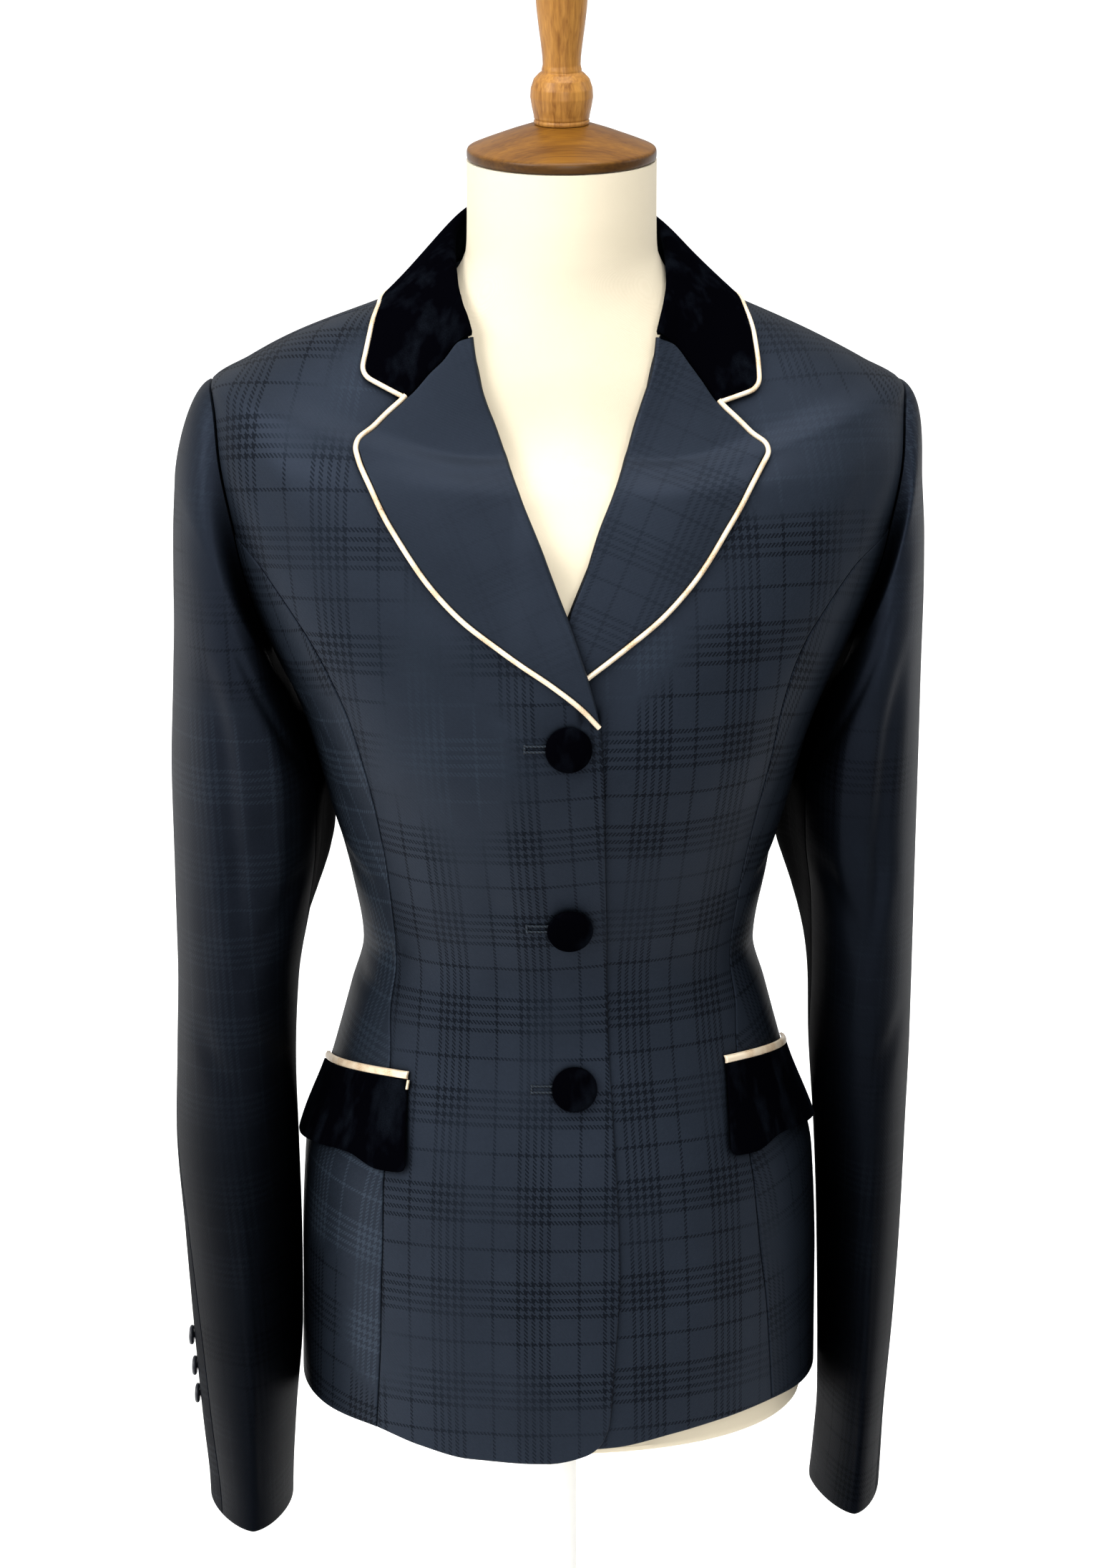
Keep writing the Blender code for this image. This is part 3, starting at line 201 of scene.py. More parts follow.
@dataclass(frozen=True)
class Torso:
    """The one surface that every panel of the coat's body lies on."""

    shift: float = -2.0             # the coat hangs a little to the wearer's right
    shoulder_tilt: float = 3.0      # how far its left shoulder hangs lower
    tilt_levels: tuple[float, ...] = (470.0, 620.0, 660.0, 750.0)   # that comes and goes there
    back_corner_share: float = 0.35     # the shoulders slope less behind than in front
    sections: Table = table("up z half front back front_rise back_rise corner square",
                            measured_up_the_side(TORSO_ROWS))

    @property
    def top(self) -> float:
        """How far up the neckline lies."""
        return float(self.sections.key[-1])

    def _bare(self, turn: Array, up: Array) -> Array:
        """Points of the outer face before the coat is moved over on the form."""
        read = self.sections.read_all(up)
        sine, cosine = np.sin(np.radians(turn)), np.cos(np.radians(turn))
        in_front = cosine > 0
        depth = np.where(in_front, read["front"], read["back"])
        rise = np.where(in_front, read["front_rise"], read["back_rise"])
        square = read["square"]
        radius = (np.abs(sine / read["half"]) ** square
                  + np.abs(cosine / depth) ** square) ** (-1 / square)
        corner = read["corner"] * np.where(in_front, 1.0, self.back_corner_share)
        height = read["z"] + rise * cosine ** 2 + corner * (2 * sine * cosine) ** 2
        start, full, fade, end = self.tilt_levels
        height = height - (self.shoulder_tilt * sine * smooth(up, start, full)
                           * (1 - smooth(up, fade, end)))
        return np.stack([radius * sine, -radius * cosine, height], axis=-1)

    def normal(self, turn: Array, up: Array) -> Array:
        """The direction out of the cloth at each place (turn, up)."""
        low, high = np.maximum(up - 1.0, 0.0), np.minimum(up + 1.0, self.top)
        along = self._bare(turn + 0.4, up) - self._bare(turn - 0.4, up)
        return unit(np.cross(along, self._bare(turn, high) - self._bare(turn, low)))

    def point(self, turn: Array | float, up: Array | float,
              out: Array | float = 0.0) -> Array:
        """Points on the coat's outer face, or so far outwards from it, in millimetres."""
        turn, up, out = np.broadcast_arrays(*(np.asarray(v, float) for v in (turn, up, out)))
        points = self._bare(turn, up) + self.normal(turn, up) * out[..., None]
        return points + np.array([self.shift, 0.0, 0.0])

    def seam_turn(self, turn: Array, up: Array, toward: int,
                  gap: float = SEAM / 2) -> Array:
        """A turn moved by half a seam's gap towards the panel that it ends."""
        reach = np.linalg.norm(self._bare(turn, up)[..., :2], axis=-1)
        return turn + np.copysign(np.degrees(gap / reach), toward)


TORSO = Torso()


@dataclass(frozen=True)
class Crease:
    """A soft trough or ridge in the cloth, between two places on it.

    Places are (turn, up) on the body and (degrees, ring) on a sleeve.
    """

    start: tuple[float, float]
    end: tuple[float, float]
    width: float            # half its width, in millimetres
    depth: float            # negative is a trough

    def relief(self, across: Array, along: Array, scale: tuple[float, float]) -> Array:
        """How far it moves each place out of the cloth. scale is the measures' millimetres."""
        x, y = across * scale[0], along * scale[1]
        x0, y0 = self.start[0] * scale[0], self.start[1] * scale[1]
        dx, dy = self.end[0] * scale[0] - x0, self.end[1] * scale[1] - y0
        length = math.hypot(dx, dy)
        share = ((x - x0) * dx + (y - y0) * dy) / length ** 2
        off = ((x - x0) * dy - (y - y0) * dx) / length
        ends = smooth(share, -0.05, 0.35) * (1 - smooth(share, 0.65, 1.05))
        return self.depth * np.exp(-(off / self.width) ** 2) * ends


def creases_of(rows: Sequence[tuple]) -> tuple[Crease, ...]:
    """Creases from rows of start, end, width and depth."""
    return tuple(Crease(row[:2], row[2:4], *row[4:]) for row in rows)


# Meshes


def linked(name: str, data: bpy.types.ID) -> Thing:
    """A new object of that data, linked to the scene."""
    thing = bpy.data.objects.new(name, data)
    bpy.context.scene.collection.objects.link(thing)
    return thing


def baked(thing: Thing) -> bpy.types.Mesh:
    """The plain mesh that an object's modifiers give. They are removed from it."""
    evaluated = thing.evaluated_get(bpy.context.evaluated_depsgraph_get())
    mesh = bpy.data.meshes.new_from_object(evaluated)
    thing.modifiers.clear()
    return mesh


def add_object(name: str, verts: Array, faces: list, material: Material,
               uv: Array | None = None, smooth_angle: float = 40.0) -> Thing:
    """An object from vertices in millimetres.

    Args:
        name: Its name.
        verts: Its vertices.
        faces: Its faces, as indices of vertices.
        material: What it is made of.
        uv: Where each vertex lies when the piece is laid flat, in millimetres.
        smooth_angle: Edges sharper than this stay sharp, in degrees.

    Returns:
        The object, linked to the scene.
    """
    mesh = bpy.data.meshes.new(name)
    mesh.from_pydata((verts * MM).tolist(), [], faces)
    if signed_volume(mesh) < 0:
        mesh.flip_normals()
    mesh.materials.append(material)
    if uv is not None:
        layer = mesh.uv_layers.new(name=UV_NAME)
        index = np.empty(len(mesh.loops), int)
        mesh.loops.foreach_get("vertex_index", index)
        layer.data.foreach_set("uv", (uv[index % len(uv)] * MM).ravel())
    mesh.shade_smooth()
    mesh.set_sharp_from_angle(angle=math.radians(smooth_angle))
    return linked(name, mesh)


def signed_volume(mesh: bpy.types.Mesh) -> float:
    """The volume inside a closed mesh, negative where its faces point inwards."""
    mesh.calc_loop_triangles()
    corners = np.empty(len(mesh.loop_triangles) * 3, int)
    mesh.loop_triangles.foreach_get("vertices", corners)
    points = np.empty(len(mesh.vertices) * 3)
    mesh.vertices.foreach_get("co", points)
    a, b, c = points.reshape(-1, 3)[corners.reshape(-1, 3)].transpose(1, 0, 2)
    return float(np.sum(a * np.cross(b, c)) / 6)


def grid_faces(rows: int, columns: int) -> Array:
    """The four-sided faces of a grid."""
    index = np.arange(rows * columns).reshape(rows, columns)
    return np.stack([index[:-1, :-1], index[:-1, 1:], index[1:, 1:], index[1:, :-1]],
                    axis=-1).reshape(-1, 4)


def wall_faces(rows: int, columns: int) -> list:
    """Faces of a closed wall between two grids, the outer one's vertices before the inner's."""
    half = rows * columns
    index = np.arange(half).reshape(rows, columns)
    outer = grid_faces(rows, columns)
    faces = [outer, half + outer[:, [0, 3, 2, 1]]]
    rims = ((index[0, 1:], index[0, :-1]), (index[-1, :-1], index[-1, 1:]),
            (index[:-1, 0], index[1:, 0]), (index[1:, -1], index[:-1, -1]))
    for start, end in rims:
        faces.append(np.stack([start, end, half + end, half + start], 1))
    return np.concatenate(faces).tolist()


def fan(point: int, ring: Array, after: Array) -> list:
    """Triangles from one point to the edges of a ring."""
    return [(point, int(a), int(b)) for a, b in zip(ring, after)]


def both_faces(outer: Array, inner: Array) -> Array:
    """The points of a wall's outer and inner face in one list."""
    return np.concatenate([outer.reshape(-1, 3), inner.reshape(-1, 3)])


def walked(points: Array, axis: int = 0) -> Array:
    """How far each point lies from the first one, walked along an axis of the array."""
    steps = np.linalg.norm(np.diff(points, axis=axis), axis=-1)
    return np.concatenate([0 * np.take(steps, [0], axis=axis), np.cumsum(steps, axis=axis)],
                          axis=axis)


def edge_distances(grid: Array) -> dict[str, Array]:
    """How far each point of a grid lies from the grid's four edges, along its lines."""
    across, down = walked(grid, 1), walked(grid)
    return {"first_column": across, "last_column": across[:, -1:] - across,
            "first_row": down, "last_row": down[-1:] - down}


def rolled(distances: dict[str, Array], edges: dict[str, float]) -> Array:
    """How deep the cloth rolls in at edges with those radii, as a quarter of a circle."""
    depth = np.zeros_like(distances["first_row"])
    for name, radius in edges.items():
        inside = np.clip(radius - distances[name], 0.0, radius)
        depth = np.maximum(depth, radius - np.sqrt(radius ** 2 - inside ** 2))
    return depth


def folded(face: Array, normals: Array, edges: dict[str, float]) -> tuple[Array, Array]:
    """The outer and inner face of cloth that is folded over at edges with those radii."""
    fold = rolled(edge_distances(face), edges)[..., None]
    return face - normals * fold, face - normals * (CLOTH - fold)


def round_corner(grid: Array, row: int, radius: float) -> Array:
    """Round a corner of a grid, whose points near it move onto a quarter disc.

    Args:
        grid: Points, in rows and columns.
        row: 0 or -1, the row that the corner is on. It is on the last column.
        radius: The rounding, in millimetres.

    Returns:
        The grid with that corner rounded.
    """
    distances = edge_distances(grid)
    to_row = distances["first_row" if row == 0 else "last_row"]
    to_column = distances["last_column"]
    corner = grid[row, -1]
    down_way = unit(grid[nearest(to_row[:, -1], radius), -1] - corner)
    across_way = unit(grid[row, nearest(to_column[row], radius)] - corner)
    x = np.clip(1 - to_column / radius, 0.0, 1.0)
    y = np.clip(1 - to_row / radius, 0.0, 1.0)
    move_x = (x - x * np.sqrt(1 - y ** 2 / 2)) * radius
    move_y = (y - y * np.sqrt(1 - x ** 2 / 2)) * radius
    return grid + move_x[..., None] * across_way + move_y[..., None] * down_way


def grid_normals(grid: Array) -> Array:
    """The direction out of a grid at each of its points, on its own geometry."""
    return unit(np.cross(np.gradient(grid, axis=1), np.gradient(grid, axis=0)))


def laid_flat(grid: Array, grain: Grain) -> Array:
    """Lay a curved piece flat, as its cloth was cut, with its grain upright.

    Args:
        grid: Points, in rows and columns.
        grain: Two places (row, column) on the grain line, from the lower one up.

    Returns:
        Flat places of the points in millimetres, the grain's lower place at the origin.
    """
    rows, columns = grid.shape[:2]
    mesh = bpy.data.meshes.new("flat")
    mesh.from_pydata((grid.reshape(-1, 3) * MM).tolist(), [],
                     grid_faces(rows, columns).tolist())
    thing = linked("flat", mesh)
    bpy.ops.object.select_all(action="DESELECT")
    bpy.context.view_layer.objects.active = thing
    thing.select_set(True)
    mesh.uv_layers.new(name=UV_NAME)
    bpy.ops.object.mode_set(mode="EDIT")
    bpy.ops.mesh.select_all(action="SELECT")
    bpy.ops.uv.unwrap(method="CONFORMAL", margin=0.0)
    bpy.ops.object.mode_set(mode="OBJECT")
    corners = np.empty(len(mesh.loops), int)
    mesh.loops.foreach_get("vertex_index", corners)
    places = np.empty(len(mesh.loops) * 2)
    mesh.uv_layers[UV_NAME].data.foreach_get("uv", places)
    flat = np.empty((rows * columns, 2))
    flat[corners] = places.reshape(-1, 2)
    bpy.data.objects.remove(thing)
    bpy.data.meshes.remove(mesh)
    flat = flat.reshape(rows, columns, 2)
    flat *= math.sqrt(grid_area(grid) / grid_area(flat))
    low, high = flat[grain[0]], flat[grain[1]]
    way = (high - low) / np.linalg.norm(high - low)
    turned_back = np.array([[way[1], way[0]], [-way[0], way[1]]])
    return (flat - low) @ turned_back


def true_along_grain(grid: Array, flat: Array, grain: Grain, anchor: int,
                     stretch: float) -> Array:
    """Even out a flat piece's scale, so that lengths along its grain line are true.

    Args:
        grid: The curved piece.
        flat: The same points laid flat.
        grain: Two places (row, column) on the grain line, from the lower one up. Past
            them the scale stays as it is at them.
        anchor: The row on the grain line that comes to lie at height 0.
        stretch: How much the finished cloth is stretched along the grain.

    Returns:
        The flat points, moved.
    """
    (start, column), (end, _) = grain
    laid, length = flat[start:end, column, 1], walked(grid[start:end, column])
    scale = np.gradient(length) / np.maximum(np.gradient(laid), 1e-6)
    kernel = np.hanning(GRAIN_EASE) / np.hanning(GRAIN_EASE).sum()
    scale = np.convolve(np.pad(scale, GRAIN_EASE // 2, mode="edge"), kernel, mode="valid")
    across, height = flat[..., 0], flat[..., 1]
    moved_up = (np.interp(height, laid, length)
                + np.minimum(height - laid[0], 0.0) * scale[0]
                + np.maximum(height - laid[-1], 0.0) * scale[-1] - length[anchor - start])
    return np.stack([across * np.interp(height, laid, scale), moved_up / stretch], axis=-1)


def grid_area(grid: Array) -> float:
    """The area of a grid's cells, flat or curved."""
    full = np.zeros(grid.shape[:2] + (3,))
    full[..., :grid.shape[2]] = grid
    one, two = full[1:, 1:] - full[:-1, :-1], full[1:, :-1] - full[:-1, 1:]
    return float(np.sum(np.linalg.norm(np.cross(one, two), axis=2)) / 2)


def spread(count: int) -> Array:
    """Shares from 0 to 1 with count evenly in the middle, and more near both rolled ends."""
    near = np.array([0.0, 0.0015, 0.004, 0.008, 0.014])
    middle = np.linspace(near[-1], 1 - near[-1], count + 2)[1:-1]
    return np.concatenate([near, middle, (1 - near)[::-1]])


def dress(thing: Thing, slot: str, *nodes: str) -> None:
    """Make a finished piece ride with the coat, and replace the nodes."""
    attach(thing, BODY)
    if nodes:
        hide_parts(*nodes)
    LOG.info("%s: %d faces", thing.name, len(thing.data.polygons))


def sew(name: str, slot: str, node: str, wall: tuple[Array, Array], material: Material,
        flat: Array, uv: Array | None = None) -> None:
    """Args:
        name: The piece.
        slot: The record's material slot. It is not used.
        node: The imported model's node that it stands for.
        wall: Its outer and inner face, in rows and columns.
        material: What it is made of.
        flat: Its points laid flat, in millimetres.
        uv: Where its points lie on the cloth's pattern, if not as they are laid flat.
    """
    thing = add_object(name, both_faces(*wall), wall_faces(*wall[0].shape[:2]), material,
                       (flat if uv is None else uv).reshape(-1, 2))
    dress(thing, slot, node)
    width, length = np.ptp(flat.reshape(-1, 2), axis=0) * MM
    area = min(grid_area(flat) * MM ** 2, width * length)
    LOG.info("%s: cut %.0f x %.0f mm, %.4f m2", name, width / MM, length / MM, area)


# Finishes


def colour(hex_value: str) -> tuple[float, float, float, float]:
    """A linear colour from an sRGB hex value."""
    channels = [int(hex_value[i:i + 2], 16) / 255 for i in (0, 2, 4)]
    return (*[c / 12.92 if c <= 0.04045 else ((c + 0.055) / 1.055) ** 2.4
              for c in channels], 1.0)


def add_node(tree: bpy.types.NodeTree, kind: str, inputs: dict | None = None,
             **settings: object) -> bpy.types.Node:
    """Add a node with its settings and links.

    Args:
        tree: The tree that it joins.
        kind: Its type.
        inputs: Each input's value, or the output that is linked to it.
        settings: Its properties.

    Returns:
        The node.
    """
    made = tree.nodes.new(kind)
    for name, value in settings.items():
        setattr(made, name, value)
    for key, value in (inputs or {}).items():
        if isinstance(value, Socket):
            tree.links.new(value, made.inputs[key])
        else:
            made.inputs[key].default_value = value
    return made


class Look:
    """The node tree of a material or a world, with short ways to add its usual nodes."""

    def __init__(self, owner: Material | bpy.types.World, shown: str = "ffffff") -> None:
        """Empty the owner's tree, and show it in that hex colour where nodes aren't drawn."""
        owner.use_nodes = True
        self.owner, self.tree = owner, owner.node_tree
        self.tree.nodes.clear()
        if isinstance(owner, Material):
            owner.diffuse_color = colour(shown)
        self.places = self.add("TexCoord").outputs
        self.spot = self.places["Object"]

    def add(self, kind: str, inputs: dict | None = None, **settings: object) -> bpy.types.Node:
        """Add a shader node."""
        return add_node(self.tree, "ShaderNode" + kind, inputs, **settings)

    def math(self, operation: str, *values: Socket | float, **settings: object) -> Socket:
        """The result of a sum."""
        return self.add("Math", dict(enumerate(values)), operation=operation,
                        **settings).outputs[0]

    def vector(self, operation: str, one: Socket, two: Socket | tuple | None = None,
               **inputs: object) -> Socket:
        """The result of a sum with vectors."""
        values = {0: one, **inputs} if two is None else {0: one, 1: two}
        made = self.add("VectorMath", values, operation=operation)
        return made.outputs["Value" if operation in ("DISTANCE", "DOT_PRODUCT") else "Vector"]

    def axis(self, vector: Socket, number: int) -> Socket:
        """One axis of a vector."""
        return self.add("SeparateXYZ", {0: vector}).outputs[number]

    def noise(self, scale: float, detail: float, vector: Socket | None = None,
              **inputs: float) -> Socket:
        """Noise with so many lumps to the metre."""
        values = {"Vector": self.spot if vector is None else vector, "Scale": scale,
                  "Detail": detail, **inputs}
        return self.add("TexNoise", values).outputs[0]

    def fade(self, value: Socket, start: float, end: float, low: float = 0.0,
             high: float = 1.0, soft: bool = False) -> Socket:
        """A value from start to end made into one from low to high."""
        return self.add("MapRange", {"Value": value, "From Min": start, "From Max": end,
                                     "To Min": low, "To Max": high},
                        interpolation_type="SMOOTHSTEP" if soft else "LINEAR").outputs[0]

    def mix(self, share: Socket, one: Socket | str | float,
            two: Socket | str | float) -> Socket:
        """A mix of two numbers, or of two colours where either is a hex value."""
        coloured = isinstance(one, str) or isinstance(two, str)
        ends = [colour(value) if isinstance(value, str) else value for value in (one, two)]
        return self.add("Mix", {"Factor": share, "A": ends[0], "B": ends[1]},
                        data_type="RGBA" if coloured else "FLOAT").outputs["Result"]

    def close(self, base: Socket, roughness: Socket | float, height: Socket, depth: float,
              **more: Socket | float | tuple) -> Material:
        """End a material in a Principled shader with a bump.

        Args:
            base: Its colour.
            roughness: Its roughness.
            height: What its bump reads, from 0 to 1.
            depth: How deep the bump's full height is, in millimetres.
            more: The shader's other inputs, with _ for each space in a name.

        Returns:
            The material.
        """
        bump = self.add("Bump", {"Height": height, "Strength": 1.0, "Distance": depth * MM})
        inputs = {name.replace("_", " "): value for name, value in more.items()}
        shaded = self.add("BsdfPrincipled", {"Base Color": base, "Roughness": roughness,
                                             **inputs, "Normal": bump.outputs[0]})
        self.add("OutputMaterial", {"Surface": shaded.outputs[0]})
        return self.owner


def new_look(name: str, shown: str) -> Look:
    """An empty material of that name."""
    return Look(bpy.data.materials.new(name), shown)


@dataclass(frozen=True)
class Worsted:
    """Wool worsted in a twill weave, with a check of darker yarns woven in tone on tone.

    The twill breaks each stripe into slanting dashes. The stripes carry painted sheen and a
    painted highlight, and the colour carries painted shade.
    """

    name: str
    ground: str = "161b22"
    dark: str = "07090d"            # the check's darker yarns, where no painted sheen lies on them
    light: str = "1d242c"           # the stripes painted paler, as painted sheen
    gloss: tuple[float, float, float] = (0.23, 0.07, 0.26)  # of ground, dark and light
    tone: tuple[float, float] = (0.60, 0.72)    # where the stripes turn from dark to light, into painted sheen
    strength: float = 0.9
    # A painted highlight: round this place, in metres, the stripes are painted paler
    lit_place: tuple[float, float, float] = (-0.055, -0.12, 0.62)
    lit_reach: float = 0.14         # metres from that place at which the painted highlight has faded
    lit_share: float = 0.16
    low_shade: float = 1.0          # share of the light that is left at the lowest place
    low_heights: tuple[float, float] = (0.25, 0.7)  # metres over which that share is lost
    yarn: float = 0.54              # the yarns' pitch, in millimetres
    repeat: int = 92                # yarns to one check
    group: int = 40                 # yarns in a group of stripes
    stripe: float = 4.0             # yarns in a stripe
    reach: float = 0.13             # metres within which another piece shades the cloth
    shut: float = 0.1               # share of the light that is left where it's closed in

    def _is_dark(self, made: Look, yarn: Socket) -> Socket:
        """1 where a yarn's number falls on one of the check's stripes."""
        place = made.math("FLOORED_MODULO", yarn, float(self.repeat))
        in_group = made.math("LESS_THAN", place, float(self.group))
        in_pair = made.math("FLOORED_MODULO", place, 2 * self.stripe)
        in_stripe = made.math("LESS_THAN", in_pair, self.stripe)
        line = made.math("COMPARE", place, (self.group + self.repeat) / 2, 1.1)
        return made.math("MAXIMUM", made.math("MULTIPLY", in_group, in_stripe), line)

    def _check(self, made: Look) -> tuple[Socket, Socket]:
        """Where the warp lies on top, and how much of a stripe's yarn shows."""
        cut = made.add("UVMap", uv_map=UV_NAME).outputs[0]
        numbers = made.vector("FLOOR", made.vector("SCALE", cut, Scale=1 / (self.yarn * MM)))
        warp, weft = made.axis(numbers, 0), made.axis(numbers, 1)
        in_step = made.math("FLOORED_MODULO", made.math("ADD", warp, weft), 4.0)
        warp_on_top = made.math("LESS_THAN", in_step, 2.0)
        striped = made.mix(warp_on_top, self._is_dark(made, weft), self._is_dark(made, warp))
        kept = made.fade(made.noise(11.0, 1.0), 0.36, 0.52, self.strength * 0.5, self.strength)
        return warp_on_top, made.math("MULTIPLY", striped, kept)

    def _shade(self, made: Look) -> Socket:
        """The light that is left close to another piece, and low down."""
        near = made.add("AmbientOcclusion", {"Distance": self.reach}, samples=6).outputs["AO"]
        lower = made.fade(made.axis(made.spot, 2), *self.low_heights, self.low_shade)
        return made.math("MULTIPLY", made.fade(near, 0.35, 0.85, self.shut), lower)

    def material(self) -> Material:
        """The cloth's material."""
        made = new_look(self.name, self.ground)
        warp_on_top, amount = self._check(made)
        # Painted sheen: in patches a hand's breadth across, placed at random, and as a painted
        # highlight round lit_place, the stripes turn from darker to lighter than the ground
        away = made.vector("DISTANCE", made.spot, self.lit_place)
        lit = made.fade(away, 0.03, self.lit_reach, self.lit_share, 0.0, soft=True)
        drifted = made.math("ADD", made.noise(7.0, 1.0), lit)
        tone = made.fade(drifted, *self.tone, soft=True)
        woven = made.mix(amount, self.ground, made.mix(tone, self.dark, self.light))
        # Melange of the yarns, drawn at 1.2 mm so that it shows
        melange = made.noise(800.0, 2.0)
        mixed = made.math("ADD", melange, made.noise(30.0, 3.0))
        # Painted shade: the colour and the gloss are darkened near other pieces and low down
        shade = self._shade(made)
        value = made.math("MULTIPLY", made.fade(mixed, 0.7, 1.3, 0.86, 1.14), shade)
        base = made.vector("SCALE", woven, Scale=value)
        # Worsted's smooth yarns shine a little, those of a dark stripe least, but not
        # where the nap turns away from the eye
        ground_gloss, dark_gloss, light_gloss = self.gloss
        gloss = made.mix(amount, ground_gloss, made.mix(tone, dark_gloss, light_gloss))
        facing = made.add("LayerWeight", {"Blend": 0.5}).outputs["Facing"]
        turned = made.fade(facing, 0.6, 0.95, 1.0, 0.12)
        gloss = made.math("MULTIPLY", made.math("MULTIPLY", gloss, shade), turned)
        return made.close(base, 0.5, made.math("ADD", warp_on_top, melange), 0.05,
                          Specular_IOR_Level=gloss, Specular_Tint=colour("c3d8ff"))


@dataclass(frozen=True)
class Velvet:
    """Short cotton velvet, which looks black and shows paler where its pile is brushed."""

    name: str = "black_cotton_velvet"
    deep: str = "020204"
    brushed: str = "161b22"

    def material(self) -> Material:
        """The velvet's material."""
        made = new_look(self.name, self.deep)
        stroked = made.add("Mapping", {"Vector": made.spot, "Scale": (1.0, 1.0, 0.45)})
        patches = made.noise(45.0, 3.0, stroked.outputs[0], Roughness=0.6)
        pile = made.noise(1600.0, 1.0)
        speckled = made.math("MULTIPLY", made.fade(patches, 0.5, 0.78), pile)
        return made.close(made.mix(speckled, self.deep, self.brushed), 0.95, pile, 0.12,
                          Specular_IOR_Level=0.0, Sheen_Weight=0.02, Sheen_Roughness=0.3,
                          Sheen_Tint=colour("5c6880"))


@dataclass(frozen=True)
class FoilLeather:
    """Leather under champagne foil, which cracks finely and shows the leather in the cracks."""

    name: str = "foiled_leather"
    foil: str = "f4e2c6"
    worn: str = "dfc098"
    crack: str = "a07d5c"
    crack_size: float = 1.3         # millimetres between cracks

    def material(self) -> Material:
        """The trim's material."""
        made = new_look(self.name, self.foil)
        cells = made.add("TexVoronoi", {"Vector": made.spot,
                                        "Scale": 1 / (self.crack_size * MM)},
                         feature="DISTANCE_TO_EDGE").outputs["Distance"]
        wear = made.noise(90.0, 4.0)
        seen = made.math("MULTIPLY", made.fade(cells, 0.0, 0.08, 1.0, 0.0),
                         made.fade(wear, 0.5, 0.7))
        foil = made.mix(made.fade(wear, 0.4, 0.75), self.foil, self.worn)
        return made.close(made.mix(seen, foil, self.crack), made.fade(wear, 0.0, 1.0, 0.3, 0.6),
                          made.math("SUBTRACT", 1.0, seen), 0.08, Metallic=0.35)


@dataclass(frozen=True)
class Jersey:
    """Cream cotton jersey, knitted in fine wales, which is matte and soft to the eye."""

    name: str = "cream_cotton_jersey"
    yarn: str = "e4d9c2"
    # Painted shade between the loops of the knit
    gap: str = "dbcfb5"
    wale: float = 0.9               # millimetres between wales
    course: float = 0.7

    def material(self) -> Material:
        """The dress form's cover."""
        made = new_look(self.name, self.yarn)
        cut = made.add("UVMap", uv_map=UV_NAME).outputs[0]
        size = (2 * math.pi / (self.wale * MM), 2 * math.pi / (self.course * MM), 1.0)
        waves = made.vector("SINE", made.vector("MULTIPLY", cut, size))
        knit = made.math("MULTIPLY", made.axis(waves, 0), made.axis(waves, 1))
        height = made.fade(knit, -1.0, 1.0)
        # Where the knit sinks, and where the noise is low, the gap's painted shade shows
        mixed = made.math("MULTIPLY", height, made.noise(12.0, 2.0))
        return made.close(made.mix(mixed, self.gap, self.yarn), 0.9, height, 0.06,
                          Specular_IOR_Level=0.2, Sheen_Weight=0.1)


@dataclass(frozen=True)
class VarnishedWood:
    """Turned beech, stained honey brown and varnished, so its grain lies under a gloss."""

    name: str = "varnished_beech"
    pale: str = "ac7a38"
    deep: str = "784c1e"
    grain: float = 1.4              # millimetres between two lines of the grain
    long_way: tuple[float, float, float] = (1.0, 1.0, 0.06)     # the grain runs up the turning
    dark_below: float = 0.0         # height in metres under which the wood is darkened as painted shade, at the cap's rim
    dark_fade: float = 0.0012

    def material(self) -> Material:
        """The wood's material."""
        made = new_look(self.name, self.pale)
        drawn = made.add("Mapping", {"Vector": made.spot, "Scale": self.long_way}).outputs[0]
        fibres = made.noise(1 / (self.grain * MM), 4.0, drawn, Distortion=0.4)
        share = made.fade(made.math("ADD", fibres, made.noise(90.0, 2.0, drawn)), 0.75, 1.3)
        # Painted shade: below that height the colour is darkened to 0.4 of itself
        rim_painted_shade = made.fade(made.axis(made.spot, 2), self.dark_below - self.dark_fade,
                          self.dark_below + self.dark_fade, 0.4)
        base = made.vector("SCALE", made.mix(share, self.deep, self.pale), Scale=rim_painted_shade)
        return made.close(base, 0.42, fibres, 0.03, Specular_IOR_Level=0.2, Coat_Weight=0.06,
                          Coat_Roughness=0.15, IOR=1.5)


@dataclass(frozen=True)
class Moulded:
    """A plain hard finish with a fine skin: dyed horn buttons or a powder coat on steel."""

    name: str
    base: str
    other: str
    roughness: float
    grit: float                     # millimetres between bumps of its skin
    depth: float                    # how deep they are, in millimetres

    def material(self) -> Material:
        """The finish's material."""
        made = new_look(self.name, self.base)
        return made.close(made.mix(made.noise(120.0, 3.0), self.base, self.other),
                          self.roughness, made.noise(1 / (self.grit * MM), 2.0), self.depth)


@dataclass(frozen=True)
class SilkThread:
    """Twisted silk buttonhole thread, a little glossier and paler than the cloth."""

    name: str = "silk_twist"
    base: str = "2a343f"
    painted_ply_shade: str = "0d1116"          # painted shade between two turns of the ply
    twist: float = 0.5              # millimetres to one turn of the ply

    def material(self) -> Material:
        """The thread's material."""
        made = new_look(self.name, self.base)
        ply = made.add("TexWave", {"Vector": made.spot, "Scale": 1 / (self.twist * MM) / 6.28},
                       bands_direction="DIAGONAL").outputs["Fac"]
        return made.close(made.mix(ply, self.painted_ply_shade, self.base), 0.5, ply, 0.05,
                          Specular_IOR_Level=0.25)


def made_of(finish: Worsted | Velvet | FoilLeather | Jersey | VarnishedWood | Moulded
            | SilkThread) -> Material:
    """A field that holds a finish's material."""
    return field(default_factory=finish.material)


